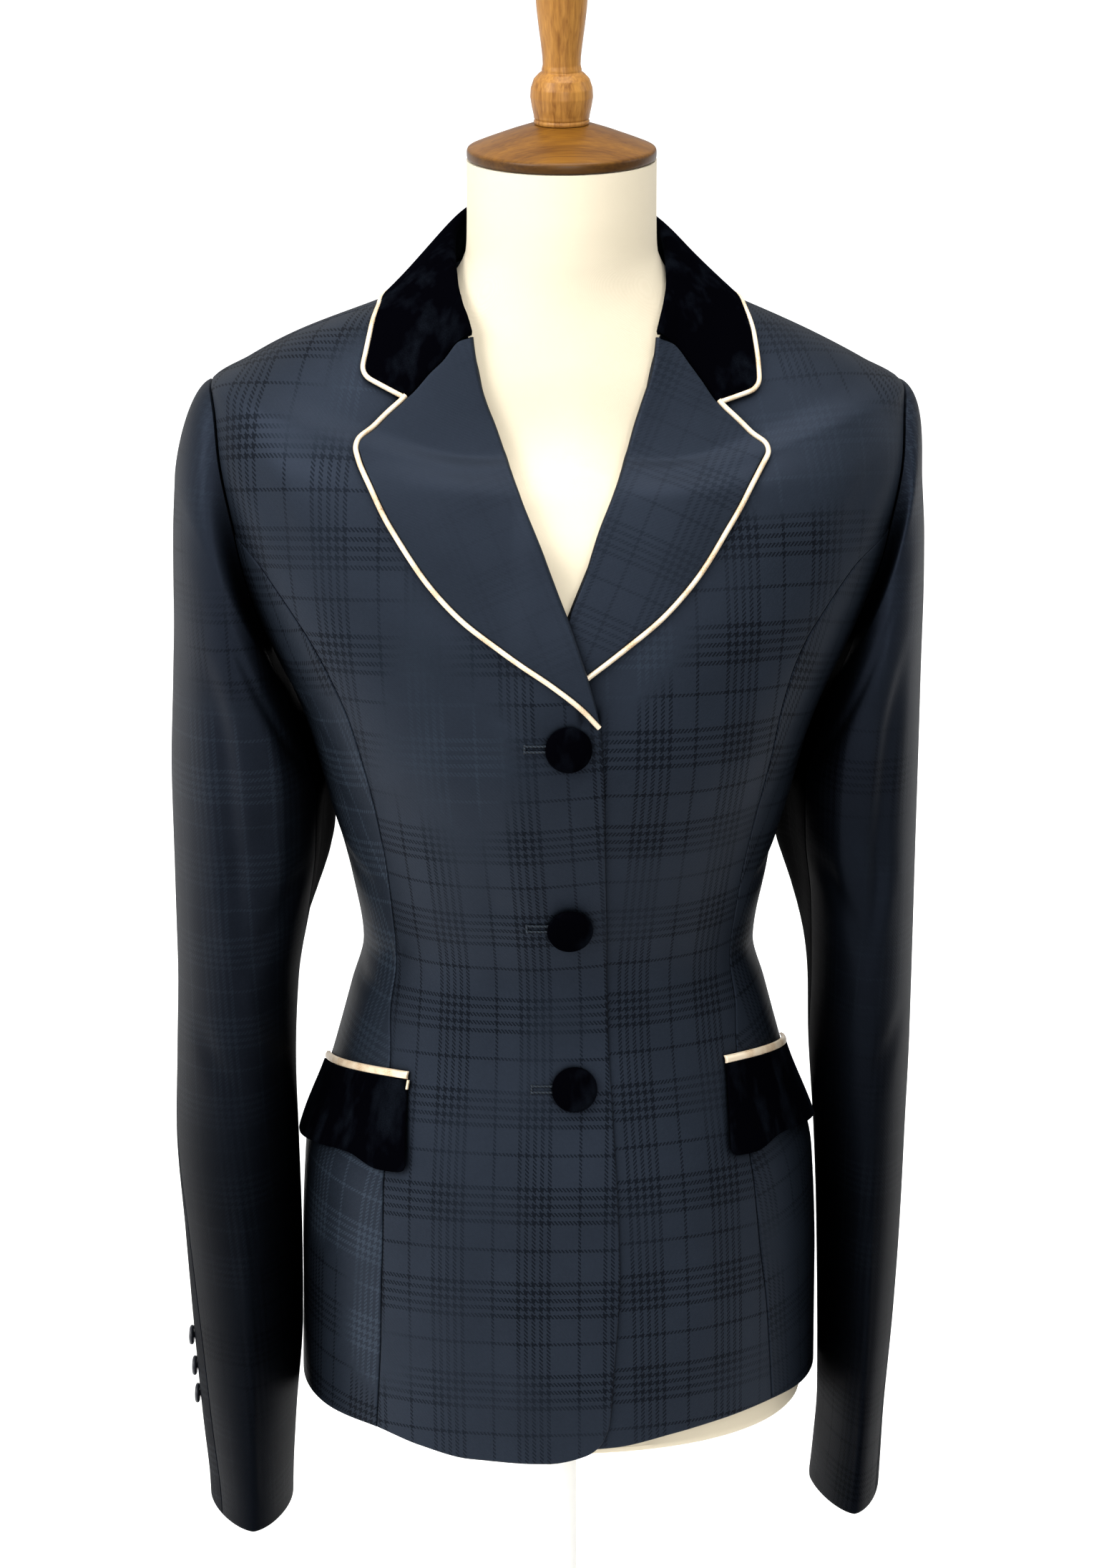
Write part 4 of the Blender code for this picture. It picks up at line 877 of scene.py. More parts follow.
@dataclass(frozen=True)
class Finishes:
    """Every material of the coat, its form and its stand."""

    front: Material = made_of(Worsted("worsted_fronts"))
    # Paler painted sheen on the stripes, and a wide painted highlight at the waist on the
    # wearer's right side
    side: Material = made_of(Worsted(
        "worsted_side_bodies", light="252d36", gloss=(0.2, 0.07, 0.26),
        lit_place=(-0.15, -0.05, 0.5), lit_reach=0.3, lit_share=0.46, reach=0.06, shut=0.55))
    # The same cloth with a darker ground as painted shade, and painted shade that grows towards
    # the cuffs
    sleeve: Material = made_of(Worsted(
        "worsted_top_sleeves_painted_shade", ground="12161d", light="1c232b", gloss=(0.16, 0.06, 0.22),
        tone=(0.36, 0.56), strength=0.7, low_shade=0.2, low_heights=(0.36, 0.78)))
    # A still darker ground, painted shade where the under sleeves turn away from the light
    # against the body
    under: Material = made_of(Worsted(
        "worsted_under_sleeves", ground="080a0e", light="12171d", gloss=(0.01, 0.01, 0.02),
        tone=(0.36, 0.56), strength=0.6))
    lapel_right: Material = made_of(Worsted(
        "worsted_right_lapel", gloss=(0.2, 0.05, 0.2), strength=0.15))
    lapel_left: Material = made_of(Worsted(
        "worsted_left_lapel", gloss=(0.21, 0.05, 0.2), tone=(0.8, 0.9), strength=0.4))
    velvet: Material = made_of(Velvet())
    trim: Material = made_of(FoilLeather())
    horn: Material = made_of(Moulded("dyed_horn", "14161b", "1f2229", 0.38, 0.6, 0.02))
    thread: Material = made_of(SilkThread())
    jersey: Material = made_of(Jersey())
    wood: Material = made_of(VarnishedWood())
    # The cap's rim, below 962.4 mm, carries painted shade
    cap_wood: Material = made_of(VarnishedWood(
        "varnished_beech_across", pale="7c5112", deep="593509", long_way=(0.06, 1.0, 1.0),
        dark_below=0.9624))
    steel: Material = made_of(Moulded("white_powder_coat", "f2f2f0", "ecece9", 0.42, 1.2, 0.03))


LOW_LEVELS = np.array([0.0, 0.3, 0.8, 1.6, 3.0])    # close together where the hem is folded


@dataclass(frozen=True)
class BodyLines:
    """Where the body's seams, edges and hem run."""

    princess: Table = table("up right left", [
        (0, 51.5, 55.5), (64, 50.5, 54), (112, 50.7, 52.3), (163, 51.9, 51.8),
        (228, 56.8, 55), (270, 60.8, 59), (326, 56.8, 55.5), (365, 53.9, 53.2),
        (402, 53.1, 52.6), (444, 54.7, 52.3), (470, 57.2, 53.3), (492, 60.5, 55.9),
        (509, 64.2, 59.8), (524, 68, 63.8), (536, 71.5, 68), (548, 77.5, 77.5),
    ])
    back_princess: Table = table("up turn", [
        (0, 130), (150, 129), (270, 126), (400, 126.5), (470, 122),
        (515, 115), (548, 105.5),
    ])
    # Inner edge of each front: rounded hem corner, front edge, roll line, then neckline
    front_edge: Table = table("up right left", [
        (0, -6, -9), (2, -0.5, -9), (6, 5, -9), (13, 8.2, -9),
        (23, 9.8, -9), (53, 11, -9), (114, 13, -9), (187, 12.8, -9),
        (272, 12.4, -9), (366, 9, -9), (413, 7.6, -9), (448, 6.6, -9),
        (480, 3.7, -7), (513, -2.1, -2.1), (562, -11.4, 8.2), (595, -17, 13.9),
        (645, -25, 23.6), (694, -35, 33.8), (738, -46, 46.3),
        (752, -57, 57), (TORSO.top, -80, 80),
    ])
    hem: Table = table("turn right left", [
        (-30, 0, 7), (0, 0, 7), (11, 0, 7.5), (27, 0, 12),
        (40, 4, 14.8), (54, 9, 16.3), (70, 8, 14), (90, 8, 12),
        (120, 5, 7), (180, 1, 1),
    ])
    hem_fade: float = 160.0         # height over which the hem's rise dies away
    armhole_turn: float = 91.5
    armhole_half_turn: float = 14.0
    armhole_up: float = 548.0
    armhole_half_up: float = 80.0
    armhole_reach: float = 195.0    # from the body's middle to the armhole

    def armhole(self, side: Side, angle: Array, inset: float = 0.0) -> tuple[Array, Array]:
        """Turn and up round the armhole: angle 0 is at the shoulder, 90 at the front."""
        radians = np.radians(angle)
        half_turn = self.armhole_half_turn - math.degrees(inset / self.armhole_reach)
        turn = self.armhole_turn - half_turn * np.sin(radians)
        up = self.armhole_up + (self.armhole_half_up - inset) * np.cos(radians)
        return side.value * turn, up

    def armhole_edge(self, up: Array, sign: int) -> Array:
        """The armhole's turn at each level, in front of it (-1) or behind it (1)."""
        level = np.clip((up - self.armhole_up) / self.armhole_half_up, 0.0, 1.0)
        return self.armhole_turn + sign * self.armhole_half_turn * np.sqrt(1 - level ** 2)

    def raised(self, side: Side, turn: Array, up: Array) -> Array:
        """Up with the hem's rise added to it."""
        rise = self.hem.read(side.label, turn * side.value)
        return up + rise * np.maximum(0.0, 1 - up / self.hem_fade)

    def levels(self, corner: bool) -> Array:
        """Dense levels from the hem to the neck, with a hem corner's own where it has one."""
        low = np.arange(0.0, 24.0, 0.75) if corner else LOW_LEVELS
        step = 2.5 if corner else 3.5
        body = np.arange(low[-1] + step, self.armhole_up - 1.0, step)
        angle = np.radians(np.linspace(90.0, 0.0, 34))
        shoulder = self.armhole_up + self.armhole_half_up * np.cos(angle)
        over = np.linspace(shoulder[-1], TORSO.top, 40)[1:]
        return np.concatenate([low, body, shoulder, over])


LINES = BodyLines()


@dataclass(frozen=True)
class Overlap:
    """How the right front lies over the left one, and over the left lapel's foot."""

    start: float = -25.0
    full: float = -10.5
    height: float = CLOTH + SEAM
    lapel_start: float = -19.0
    lapel_full: float = -8.0
    lapel_low: float = 425.0
    lapel_high: float = 470.0
    lapel_height: float = CLOTH + LIE + 0.5

    def out(self, side: Side, turn: Array, up: Array) -> Array:
        """How far the outer face of a front stands off the torso's surface."""
        if side is Side.LEFT:
            return np.zeros(np.broadcast(turn, up).shape)
        lap = self.height * smooth(turn, self.start, self.full)
        over_lapel = (smooth(turn, self.lapel_start, self.lapel_full)
                      * smooth(up, self.lapel_low, self.lapel_high))
        return lap + self.lapel_height * over_lapel


OVERLAP = Overlap()


# Creases of the body, a row each
BODY_CREASES = [
    # from turn   up     to turn     up     width  depth
    # at the right front, from the top button towards the lapel's roll and the bust
    (1.9, 464, 2.3, 449, 2.2, -1.5),
    (5.6, 462, 5, 446, 2.2, -1.5),
    (-4, 440, -22, 462, 4.5, -0.7),
    (-6, 428, -34, 436, 5.5, -0.5),
    (-5, 318, -34, 309, 6, -0.6),
    (-5, 326, -30, 338, 6, -0.4),
    # from the waist's side seams
    (-52, 296, -84, 280, 6, -1.1),
    (-58, 262, -92, 270, 6.5, -1),
    (-60, 330, -88, 352, 7, -0.9),
    (-56, 372, -80, 410, 7.5, -0.8),
    (-60, 410, -84, 452, 6, -0.9),
    (-64, 440, -88, 490, 6, -0.8),
    (54, 290, 86, 276, 6, -1.1),
    (58, 326, 88, 346, 7, -1),
    (56, 380, 82, 424, 7, -0.9),
    (30, 452, 54, 500, 9, -0.7),
    (-34, 470, -56, 520, 9, -0.6),
    # in front of the armholes
    (-62, 540, -74, 610, 7, -1.1),
    (62, 540, 74, 610, 7, -1.1),
    # down the skirt
    (-30, 10, -32, 200, 16, 0.8),
    (34, 16, 36, 190, 15, 0.8),
    (-92, 14, -90, 200, 16, -0.9),
    (94, 14, 92, 210, 16, -0.9),
    (-150, 6, -152, 210, 18, 1),
    (152, 6, 150, 200, 17, 0.9),
    # across the back
    (-176, 286, -128, 300, 7, -1),
    (176, 276, 128, 288, 7, -1.1),
    (-172, 322, -134, 340, 8, -0.7),
    (170, 330, 132, 350, 8, -0.8),
    (-118, 470, -106, 560, 9, -1),
    (118, 470, 106, 560, 9, -1),
]


@dataclass
class CoatBody:
    """Fronts, side bodies and backs: six panels that meet in rolled seams."""

    finishes: Finishes
    columns: int = 96
    seam_roll: float = 1.0          # how deep a seam sinks
    crease_ease: float = 5.0        # how far from its edges a panel's creases set in
    turn_scale: float = 2.45        # millimetres to a degree, where creases are placed
    # Where the fronts' grain line starts on the cloth's check
    front_check: dict[Side, tuple] = by_side((-4.0, 8.0), (14.0, 8.0))
    side_check: tuple[float, float] = (6.0, 11.3)
    front_grain: tuple[int, ...] = (40, 322, 440)   # ups of its lower end, anchor, upper end
    grain_inset: int = 11           # columns from a front's or back's inner edge to its grain
    anchor_row: int = 95            # of the side bodies and the backs
    stretch: float = 1.12           # the cloth is pressed longer than it was woven
    creases: tuple[Crease, ...] = creases_of(BODY_CREASES)

    def relief(self, turn: Array, up: Array) -> Array:
        """How far the creases move each place of the body."""
        return sum(crease.relief(turn, up, (self.turn_scale, 1.0)) for crease in self.creases)

    def _panel(self, side: Side, kind: str, places: tuple[Array, Array, Array | float],
               seams: Sequence[str], folds: Sequence[str], grain: Grain, anchor: int,
               origin: tuple[float, float], material: Material) -> None:
        """Build one panel of the body and dress it.

        Args:
            side: The side that it's on.
            kind: Front, side or back.
            places: Turn, up and out of its outer face.
            seams: Its seam edges.
            folds: Its folded edges, which round the inner side too.
            grain: Its grain line.
            origin: That place.
            material: What it is made of.
        """
        turn, up, out = places
        base = TORSO.point(turn, up, out)
        distances = edge_distances(base)
        fold = rolled(distances, dict.fromkeys(folds, FOLD))
        sunk = np.maximum(rolled(distances, dict.fromkeys(seams, self.seam_roll)), fold)
        # The relief dies away at the seams, so that two panels meet
        rim = np.minimum.reduce([distances[edge] for edge in (*seams, *folds)])
        relief = self.relief(turn, up) * smooth(rim, 0.0, self.crease_ease)
        outer = TORSO.point(turn, up, out - sunk + relief)
        inner = TORSO.point(turn, up, out - CLOTH + fold)
        flat = laid_flat(base, grain)
        on_check = true_along_grain(base, flat, grain, anchor, self.stretch) + np.array(origin)
        sew(f"{kind}_panel_{side.label}", "navy_worsted", f"{kind}_{side.label}",
            (outer, inner), material, flat, on_check)

    def _outer_edge(self, side: Side, level: Array, way: int) -> Array:
        """A front's (way -1) or a back's (1) princess seam, armhole and shoulder end."""
        toward, in_front = side.value * way, way < 0
        seam = (LINES.princess.read(side.label, level) if in_front
                else LINES.back_princess.read("turn", level))
        below = TORSO.seam_turn(side.value * seam, level, toward)
        armhole = side.value * LINES.armhole_edge(level, way)
        above = TORSO.seam_turn(side.value * LINES.armhole_turn, level, toward)
        low = level <= LINES.armhole_up if in_front else level < LINES.armhole_up
        return np.where(low, below, np.where(
            level < LINES.armhole_up + LINES.armhole_half_up, armhole, above))

    def front(self, side: Side) -> None:
        """A front, from its princess seam, armhole and shoulder seam to its inner edge."""
        level = LINES.levels(corner=side is Side.RIGHT)[:, None]
        outer = self._outer_edge(side, level, -1)
        inner = LINES.front_edge.read(side.label, level)
        turn = outer + (inner - outer) * spread(self.columns)[None, :]
        up = LINES.raised(side, turn, level + 0 * turn)
        low, anchor, high = (nearest(level[:, 0], height) for height in self.front_grain)
        column = turn.shape[1] - self.grain_inset
        self._panel(side, "front", (turn, up, OVERLAP.out(side, turn, up)), ["first_column"],
                    ["last_column", "first_row"], ((low, column), (high, column)), anchor,
                    self.front_check[side], self.finishes.front)

    def side(self, side: Side) -> None:
        """A side body, under the armhole between two princess seams."""
        level = np.concatenate([LOW_LEVELS, np.linspace(6.5, LINES.armhole_up, 156)])[:, None]
        share = spread(40)[None, :]
        high = level / LINES.armhole_up
        front = TORSO.seam_turn(side.value * LINES.princess.read(side.label, level), level,
                                side.value)
        back = TORSO.seam_turn(side.value * LINES.back_princess.read("turn", level), level,
                               -side.value)
        top_turn, top_up = LINES.armhole(side, 90.0 + 180.0 * share)
        straight = top_turn[:, :1] + (top_turn[:, -1:] - top_turn[:, :1]) * share
        turn = front + (back - front) * share + high ** 2 * (top_turn - straight)
        up = LINES.raised(side, turn, level + high ** 2 * (top_up - LINES.armhole_up))
        column = turn.shape[1] // 2
        self._panel(side, "side", (turn, up, 0.0), ["first_column", "last_column"],
                    ["first_row"], ((20, column), (130, column)), self.anchor_row,
                    self.side_check, self.finishes.side)

    def back(self, side: Side) -> None:
        """A back, from its princess seam, armhole and shoulder seam to the centre seam."""
        level = LINES.levels(corner=False)[:, None]
        outer = self._outer_edge(side, level, 1)
        centre = TORSO.seam_turn(side.value * 180.0 + 0 * level, level, -side.value)
        turn = outer + (centre - outer) * spread(self.columns)[None, :]
        up = LINES.raised(side, turn, level + 0 * turn)
        column = turn.shape[1] - self.grain_inset
        across, along = self.side_check
        self._panel(side, "back", (turn, up, 0.0), ["first_column", "last_column"],
                    ["first_row"], ((20, column), (120, column)), self.anchor_row,
                    (across * side.value, along), self.finishes.side)

    def build(self) -> None:
        """Build all six panels."""
        for side in Side:
            self.front(side)
            self.side(side)
            self.back(side)


# Where each lapel and gorge seam run, a row per place
LAPEL_ROWS = {
    Side.RIGHT: [
        # share, roll turn and up, edge turn and up
        (0, -46.4, 742, -58.7, 627.7), (0.1, -40, 712, -56, 614.4),
        (0.22, -32.5, 681, -51.1, 594.2), (0.35, -25, 645, -45.7, 569.4),
        (0.48, -18.5, 604, -38.3, 541.6), (0.6, -11.4, 562, -28.7, 517.5),
        (0.72, -5.2, 529, -17.8, 498.5), (0.84, -0.2, 502, -5.9, 479.8),
        (0.94, 3.9, 472, 2.7, 463.2), (1, 6, 455, 6.6, 452.7),
    ],
    Side.LEFT: [
        (0, 46.2, 740, 57.3, 628.3), (0.1, 41, 718, 53.8, 616.5),
        (0.22, 33.8, 694, 48.1, 596.5), (0.35, 23.6, 646, 41.9, 572.1),
        (0.48, 16.2, 604, 34.4, 544.1), (0.6, 10.2, 573, 23.6, 517.7),
        (0.72, 4.6, 540, 13, 499.1), (0.84, -0.3, 518, 3, 482.2),
        (0.94, -2.6, 506, -2.6, 471.7), (1, -4.4, 500, -4, 465),
    ],
}
GORGE_ROWS = {
    Side.RIGHT: [
        # share, turn, up
        (0, -46.4, 742), (0.18, -50.3, 734.8), (0.42, -52.5, 720.6), (0.68, -55.3, 704.9),
        (1, -57.2, 682.1),
    ],
    Side.LEFT: [
        (0, 46.2, 740), (0.18, 51, 730.6), (0.42, 53, 717.1), (0.68, 54.9, 700.2),
        (1, 55.8, 683.5),
    ],
}
GORGES = {side: Table("share turn up", rows) for side, rows in GORGE_ROWS.items()}


@dataclass
class PathTree:
    """A Geometry Nodes tree that lays something along a path of edges.

    Subclasses give the nodes between the path and its result.
    """

    name: str
    material: Material

    def nodes(self, tree: bpy.types.NodeTree, curve: Socket, start: bpy.types.Node) -> Socket:
        """The nodes that turn a curve into geometry."""
        raise NotImplementedError

    def sizes(self) -> dict[str, float]:
        """The tree's named inputs and their values."""
        raise NotImplementedError

    def make(self, paths: Sequence[Array], name: str) -> Thing:
        """Lay it along paths of points, and bake the result to a plain mesh of that name."""
        tree = bpy.data.node_groups.new(self.name, "GeometryNodeTree")
        for way in ("INPUT", "OUTPUT"):
            tree.interface.new_socket("Geometry", in_out=way, socket_type="NodeSocketGeometry")
        keys = {label: tree.interface.new_socket(
            label, in_out="INPUT", socket_type="NodeSocketFloat").identifier
            for label in self.sizes()}
        start = add_node(tree, "NodeGroupInput")
        curve = add_node(tree, "GeometryNodeMeshToCurve", {"Mesh": start.outputs[0]})
        result = self.nodes(tree, curve.outputs[0], start)
        real = add_node(tree, "GeometryNodeRealizeInstances", {"Geometry": result})
        dressed = add_node(tree, "GeometryNodeSetMaterial",
                           {"Geometry": real.outputs[0], "Material": self.material})
        add_node(tree, "NodeGroupOutput", {0: dressed.outputs[0]})

        verts, edges = [], []
        for path in paths:
            first = len(verts)
            verts += (np.asarray(path) * MM).tolist()
            edges += [(first + i, first + i + 1) for i in range(len(path) - 1)]
        mesh = bpy.data.meshes.new(name + "_path")
        mesh.from_pydata(verts, edges, [])
        carrier = linked(name + "_path", mesh)
        modifier = carrier.modifiers.new(self.name, "NODES")
        modifier.node_group = tree
        for label, value in self.sizes().items():
            modifier[keys[label]] = value
        made = baked(carrier)
        bpy.data.objects.remove(carrier)
        bpy.data.meshes.remove(mesh)
        bpy.data.node_groups.remove(tree)
        made.name = name
        made.shade_smooth()
        return linked(name, made)


@dataclass
class PipingTree(PathTree):
    """A round cord wrapped in trim, closed at its ends."""

    radius: float = 1.5
    sides: int = 14

    def sizes(self) -> dict[str, float]:
        """The cord's radius, in metres."""
        return {"Radius": self.radius * MM}

    def nodes(self, tree: bpy.types.NodeTree, curve: Socket, start: bpy.types.Node) -> Socket:
        """Sweep a circle along the curve."""
        ring = add_node(tree, "GeometryNodeCurvePrimitiveCircle",
                        {"Resolution": self.sides, "Radius": start.outputs["Radius"]})
        swept = add_node(tree, "GeometryNodeCurveToMesh",
                         {"Curve": curve, "Profile Curve": ring.outputs[0],
                          "Fill Caps": True})
        return swept.outputs[0]


@dataclass
class StitchTree(PathTree):
    """Small thread knots in a row along a path, as a worked buttonhole has."""

    pitch: float = 0.8              # millimetres from knot to knot
    length: float = 1.5
    thickness: float = 0.95
    slant: float = 0.45             # radians that each knot is turned from straight across

    def sizes(self) -> dict[str, float]:
        """The row's pitch and its knots' sizes, in metres and radians."""
        return {"Pitch": self.pitch * MM, "Length": self.length * MM,
                "Thickness": self.thickness * MM, "Slant": self.slant}

    def nodes(self, tree: bpy.types.NodeTree, curve: Socket, start: bpy.types.Node) -> Socket:
        """Set a knot at each pitch, across the path."""
        points = add_node(tree, "GeometryNodeCurveToPoints",
                          {"Curve": curve, "Length": start.outputs["Pitch"]}, mode="LENGTH")
        knot = add_node(tree, "GeometryNodeMeshIcoSphere", {"Radius": 0.5, "Subdivisions": 2})
        size = add_node(tree, "ShaderNodeCombineXYZ",
                        {0: start.outputs["Thickness"], 1: start.outputs["Length"],
                         2: start.outputs["Length"]})
        along = add_node(tree, "FunctionNodeAlignRotationToVector",
                         {"Vector": points.outputs["Tangent"]}, axis="X")
        slanted = add_node(tree, "FunctionNodeRotateRotation",
                           {0: along.outputs[0], 1: add_node(
                               tree, "FunctionNodeAxisAngleToRotation",
                               {"Axis": (0.0, 0.0, 1.0), "Angle": start.outputs["Slant"]}
                           ).outputs[0]}, rotation_space="LOCAL")
        placed = add_node(tree, "GeometryNodeInstanceOnPoints",
                          {"Points": points.outputs[0], "Instance": knot.outputs[0],
                           "Rotation": slanted.outputs[0], "Scale": size.outputs[0]})
        return placed.outputs[0]


def resampled(path: Array, step: float) -> Array:
    """A path with points at even steps along it."""
    lengths = walked(path)
    at = np.linspace(0.0, lengths[-1], max(2, int(round(lengths[-1] / step)) + 1))
    return np.stack([np.interp(at, lengths, path[:, i]) for i in range(3)], axis=1)


def relaxed(path: Array, times: int) -> Array:
    """A path whose corners are eased, its ends kept."""
    path = path.copy()
    for _ in range(times):
        path[1:-1] = path[1:-1] / 2 + (path[:-2] + path[2:]) / 4
    return path


def beside(edge: Array, normals: Array, way: int, away: float, down: float) -> Array:
    """A line that runs beside an edge of the cloth.

    Args:
        edge: The edge's points.
        normals: The direction out of the cloth at each.
        way: 1 or -1, the side of the edge that the line lies on.
        away: Its distance from the edge.
        down: How far it lies below the edge's outer face.

    Returns:
        The line's points, eased at corners.
    """
    tangents = unit(np.gradient(edge, axis=0))
    outward = unit(np.cross(normals, tangents)) * way
    return relaxed(resampled(edge + outward * away - normals * down, 0.8), 6)


@dataclass
class Lapels:
    """The two lapel facings, turned back on the fronts at a soft roll."""

    finishes: Finishes
    spring: float = 2.2             # how far a lapel stands off between roll and edge
    top_bow: float = 0.7            # degrees that its top edge bows out past the notch
    notch_share: float = 0.75       # share of the top row that is sewn to the collar
    notch_drop: float = 3.6         # how far its free top edge lies under the collar's
    shoulder_drop: float = 1.5      # how far the gorge falls away beside the roll
    roll_radius: float = 2.6
    roll_tighter: float = 0.4       # how much smaller that is at the roll's two ends
    point_radius: float = 5.0       # rounding of the lapel's point
    piping_radius: float = 1.5
    piping_drop: float = 0.9        # how far its middle lies under the lapel's outer face
    rows: int = 150
    columns: int = 52
    bend_columns: int = 12
    left_piping_end: float = 0.86   # it runs in under the right front there

    def _shares(self) -> Array:
        """Shares across a lapel, closer together where its edge rolls in."""
        return np.concatenate([np.linspace(0.0, 0.96, self.columns),
                               [0.973, 0.984, 0.991, 0.996, 1.0]])

    def _places(self, side: Side) -> tuple[Array, Array, Array]:
        """Turn, up and spring of a lapel, from its roll line to its outer edge."""
        lines = Table("share roll_turn roll_up edge_turn edge_up", LAPEL_ROWS[side])
        gorge = GORGES[side]
        near = np.array([0.0, 0.002, 0.005, 0.009, 0.014])
        share = np.concatenate([near, np.linspace(0.02, 1.0, self.rows)])[:, None]
        u = self._shares()[None, :]
        sewn = np.minimum(u / self.notch_share, 1.0)
        free = np.clip((u - self.notch_share) / (1 - self.notch_share), 0.0, 1.0)
        edge = (lines.read("edge_turn", 0.0), lines.read("edge_up", 0.0))
        bow = side.value * self.top_bow * np.sin(np.pi * free)
        turn_top = gorge.read("turn", sewn) + (edge[0] - gorge.read("turn", 1.0)) * free + bow
        up_top = gorge.read("up", sewn) + (edge[1] - gorge.read("up", 1.0)) * free
        up_top = up_top - self.notch_drop * smooth(free, 0.0, 0.08) * (1 - free)
        up_top = up_top - self.shoulder_drop * np.maximum(0.0, 1 - u / 0.12) ** 2
        fade = np.maximum(0.0, 1 - share / 0.45) ** 2
        turn = lines.read("roll_turn", share) * (1 - u) + lines.read("edge_turn", share) * u
        up = lines.read("roll_up", share) * (1 - u) + lines.read("edge_up", share) * u
        turn = turn + fade * (turn_top - turn[:1])
        up = up + fade * (up_top - up[:1])
        spring = self.spring * np.sin(np.pi * u) * (1 - smooth(share, 0.4, 0.7))
        return turn, up, spring

    def _face(self, side: Side) -> tuple[Array, Array]:
        """A lapel's outer face, and the directions out of it."""
        turn, up, spring = self._places(side)
        lift = OVERLAP.out(side, turn, up) + LIE + LAPEL_EASE + CLOTH
        face = TORSO.point(turn, up, lift + spring)
        return round_corner(face, 0, self.point_radius), TORSO.normal(turn, up)

    def edge(self, side: Side) -> Array:
        """The middle line of a lapel's piping, from the notch to the lapel's foot."""
        face, normals = self._face(side)
        start = nearest(self._shares(), self.notch_share)
        end = len(face) if side is Side.RIGHT else int(len(face) * self.left_piping_end)
        line, out = (np.concatenate([rows[0, start:], rows[1:end, -1]])
                     for rows in (face, normals))
        return beside(line, out, side.value, self.piping_radius + PIPING_GAP,
                      self.piping_drop)

    def _build(self, side: Side) -> None:
        """Build one lapel."""
        face, normals = self._face(side)
        outer, inner = folded(face, normals, dict.fromkeys(("last_column", "first_row"), FOLD))

        # The roll: the cloth turns over towards the opening and back under itself
        place = np.linspace(0, 1, len(face))
        radius = self.roll_radius - self.roll_tighter * (1 - smooth(place, 0.0, 0.25))
        radius -= self.roll_tighter * smooth(place, 0.9, 1.0)
        across = unit(face[:, 0] - face[:, 1])
        out = normals[:, 0]
        across = unit(across - np.sum(across * out, axis=1, keepdims=True) * out)
        bend_outer, bend_inner = [], []
        for angle in np.linspace(math.pi, 0.0, self.bend_columns, endpoint=False):
            for store, reach in ((bend_outer, radius), (bend_inner, radius - CLOTH)):
                reach = reach[:, None]
                store.append(face[:, 0] - out * radius[:, None]
                             + across * reach * math.sin(angle) + out * reach * math.cos(angle))
        outer, inner = (np.concatenate([np.stack(bend, 1), flank], axis=1)
                        for bend, flank in ((bend_outer, outer), (bend_inner, inner)))
        middle = (outer + inner) / 2
        column = middle.shape[1] // 3
        flat = laid_flat(middle, ((len(middle) - 20, column), (20, column)))
        sew(f"lapel_facing_{side.label}", "navy_worsted", f"lapel_{side.label}",
            (outer, inner), getattr(self.finishes, f"lapel_{side.label}"), flat)

    def build(self) -> None:
        """Build both lapels with their piping."""
        for side in Side:
            self._build(side)
            piping = PipingTree("piping", self.finishes.trim, self.piping_radius).make(
                [self.edge(side)], f"lapel_cord_{side.label}")
            dress(piping, "champagne_leather", f"lapel_piping_{side.label}")


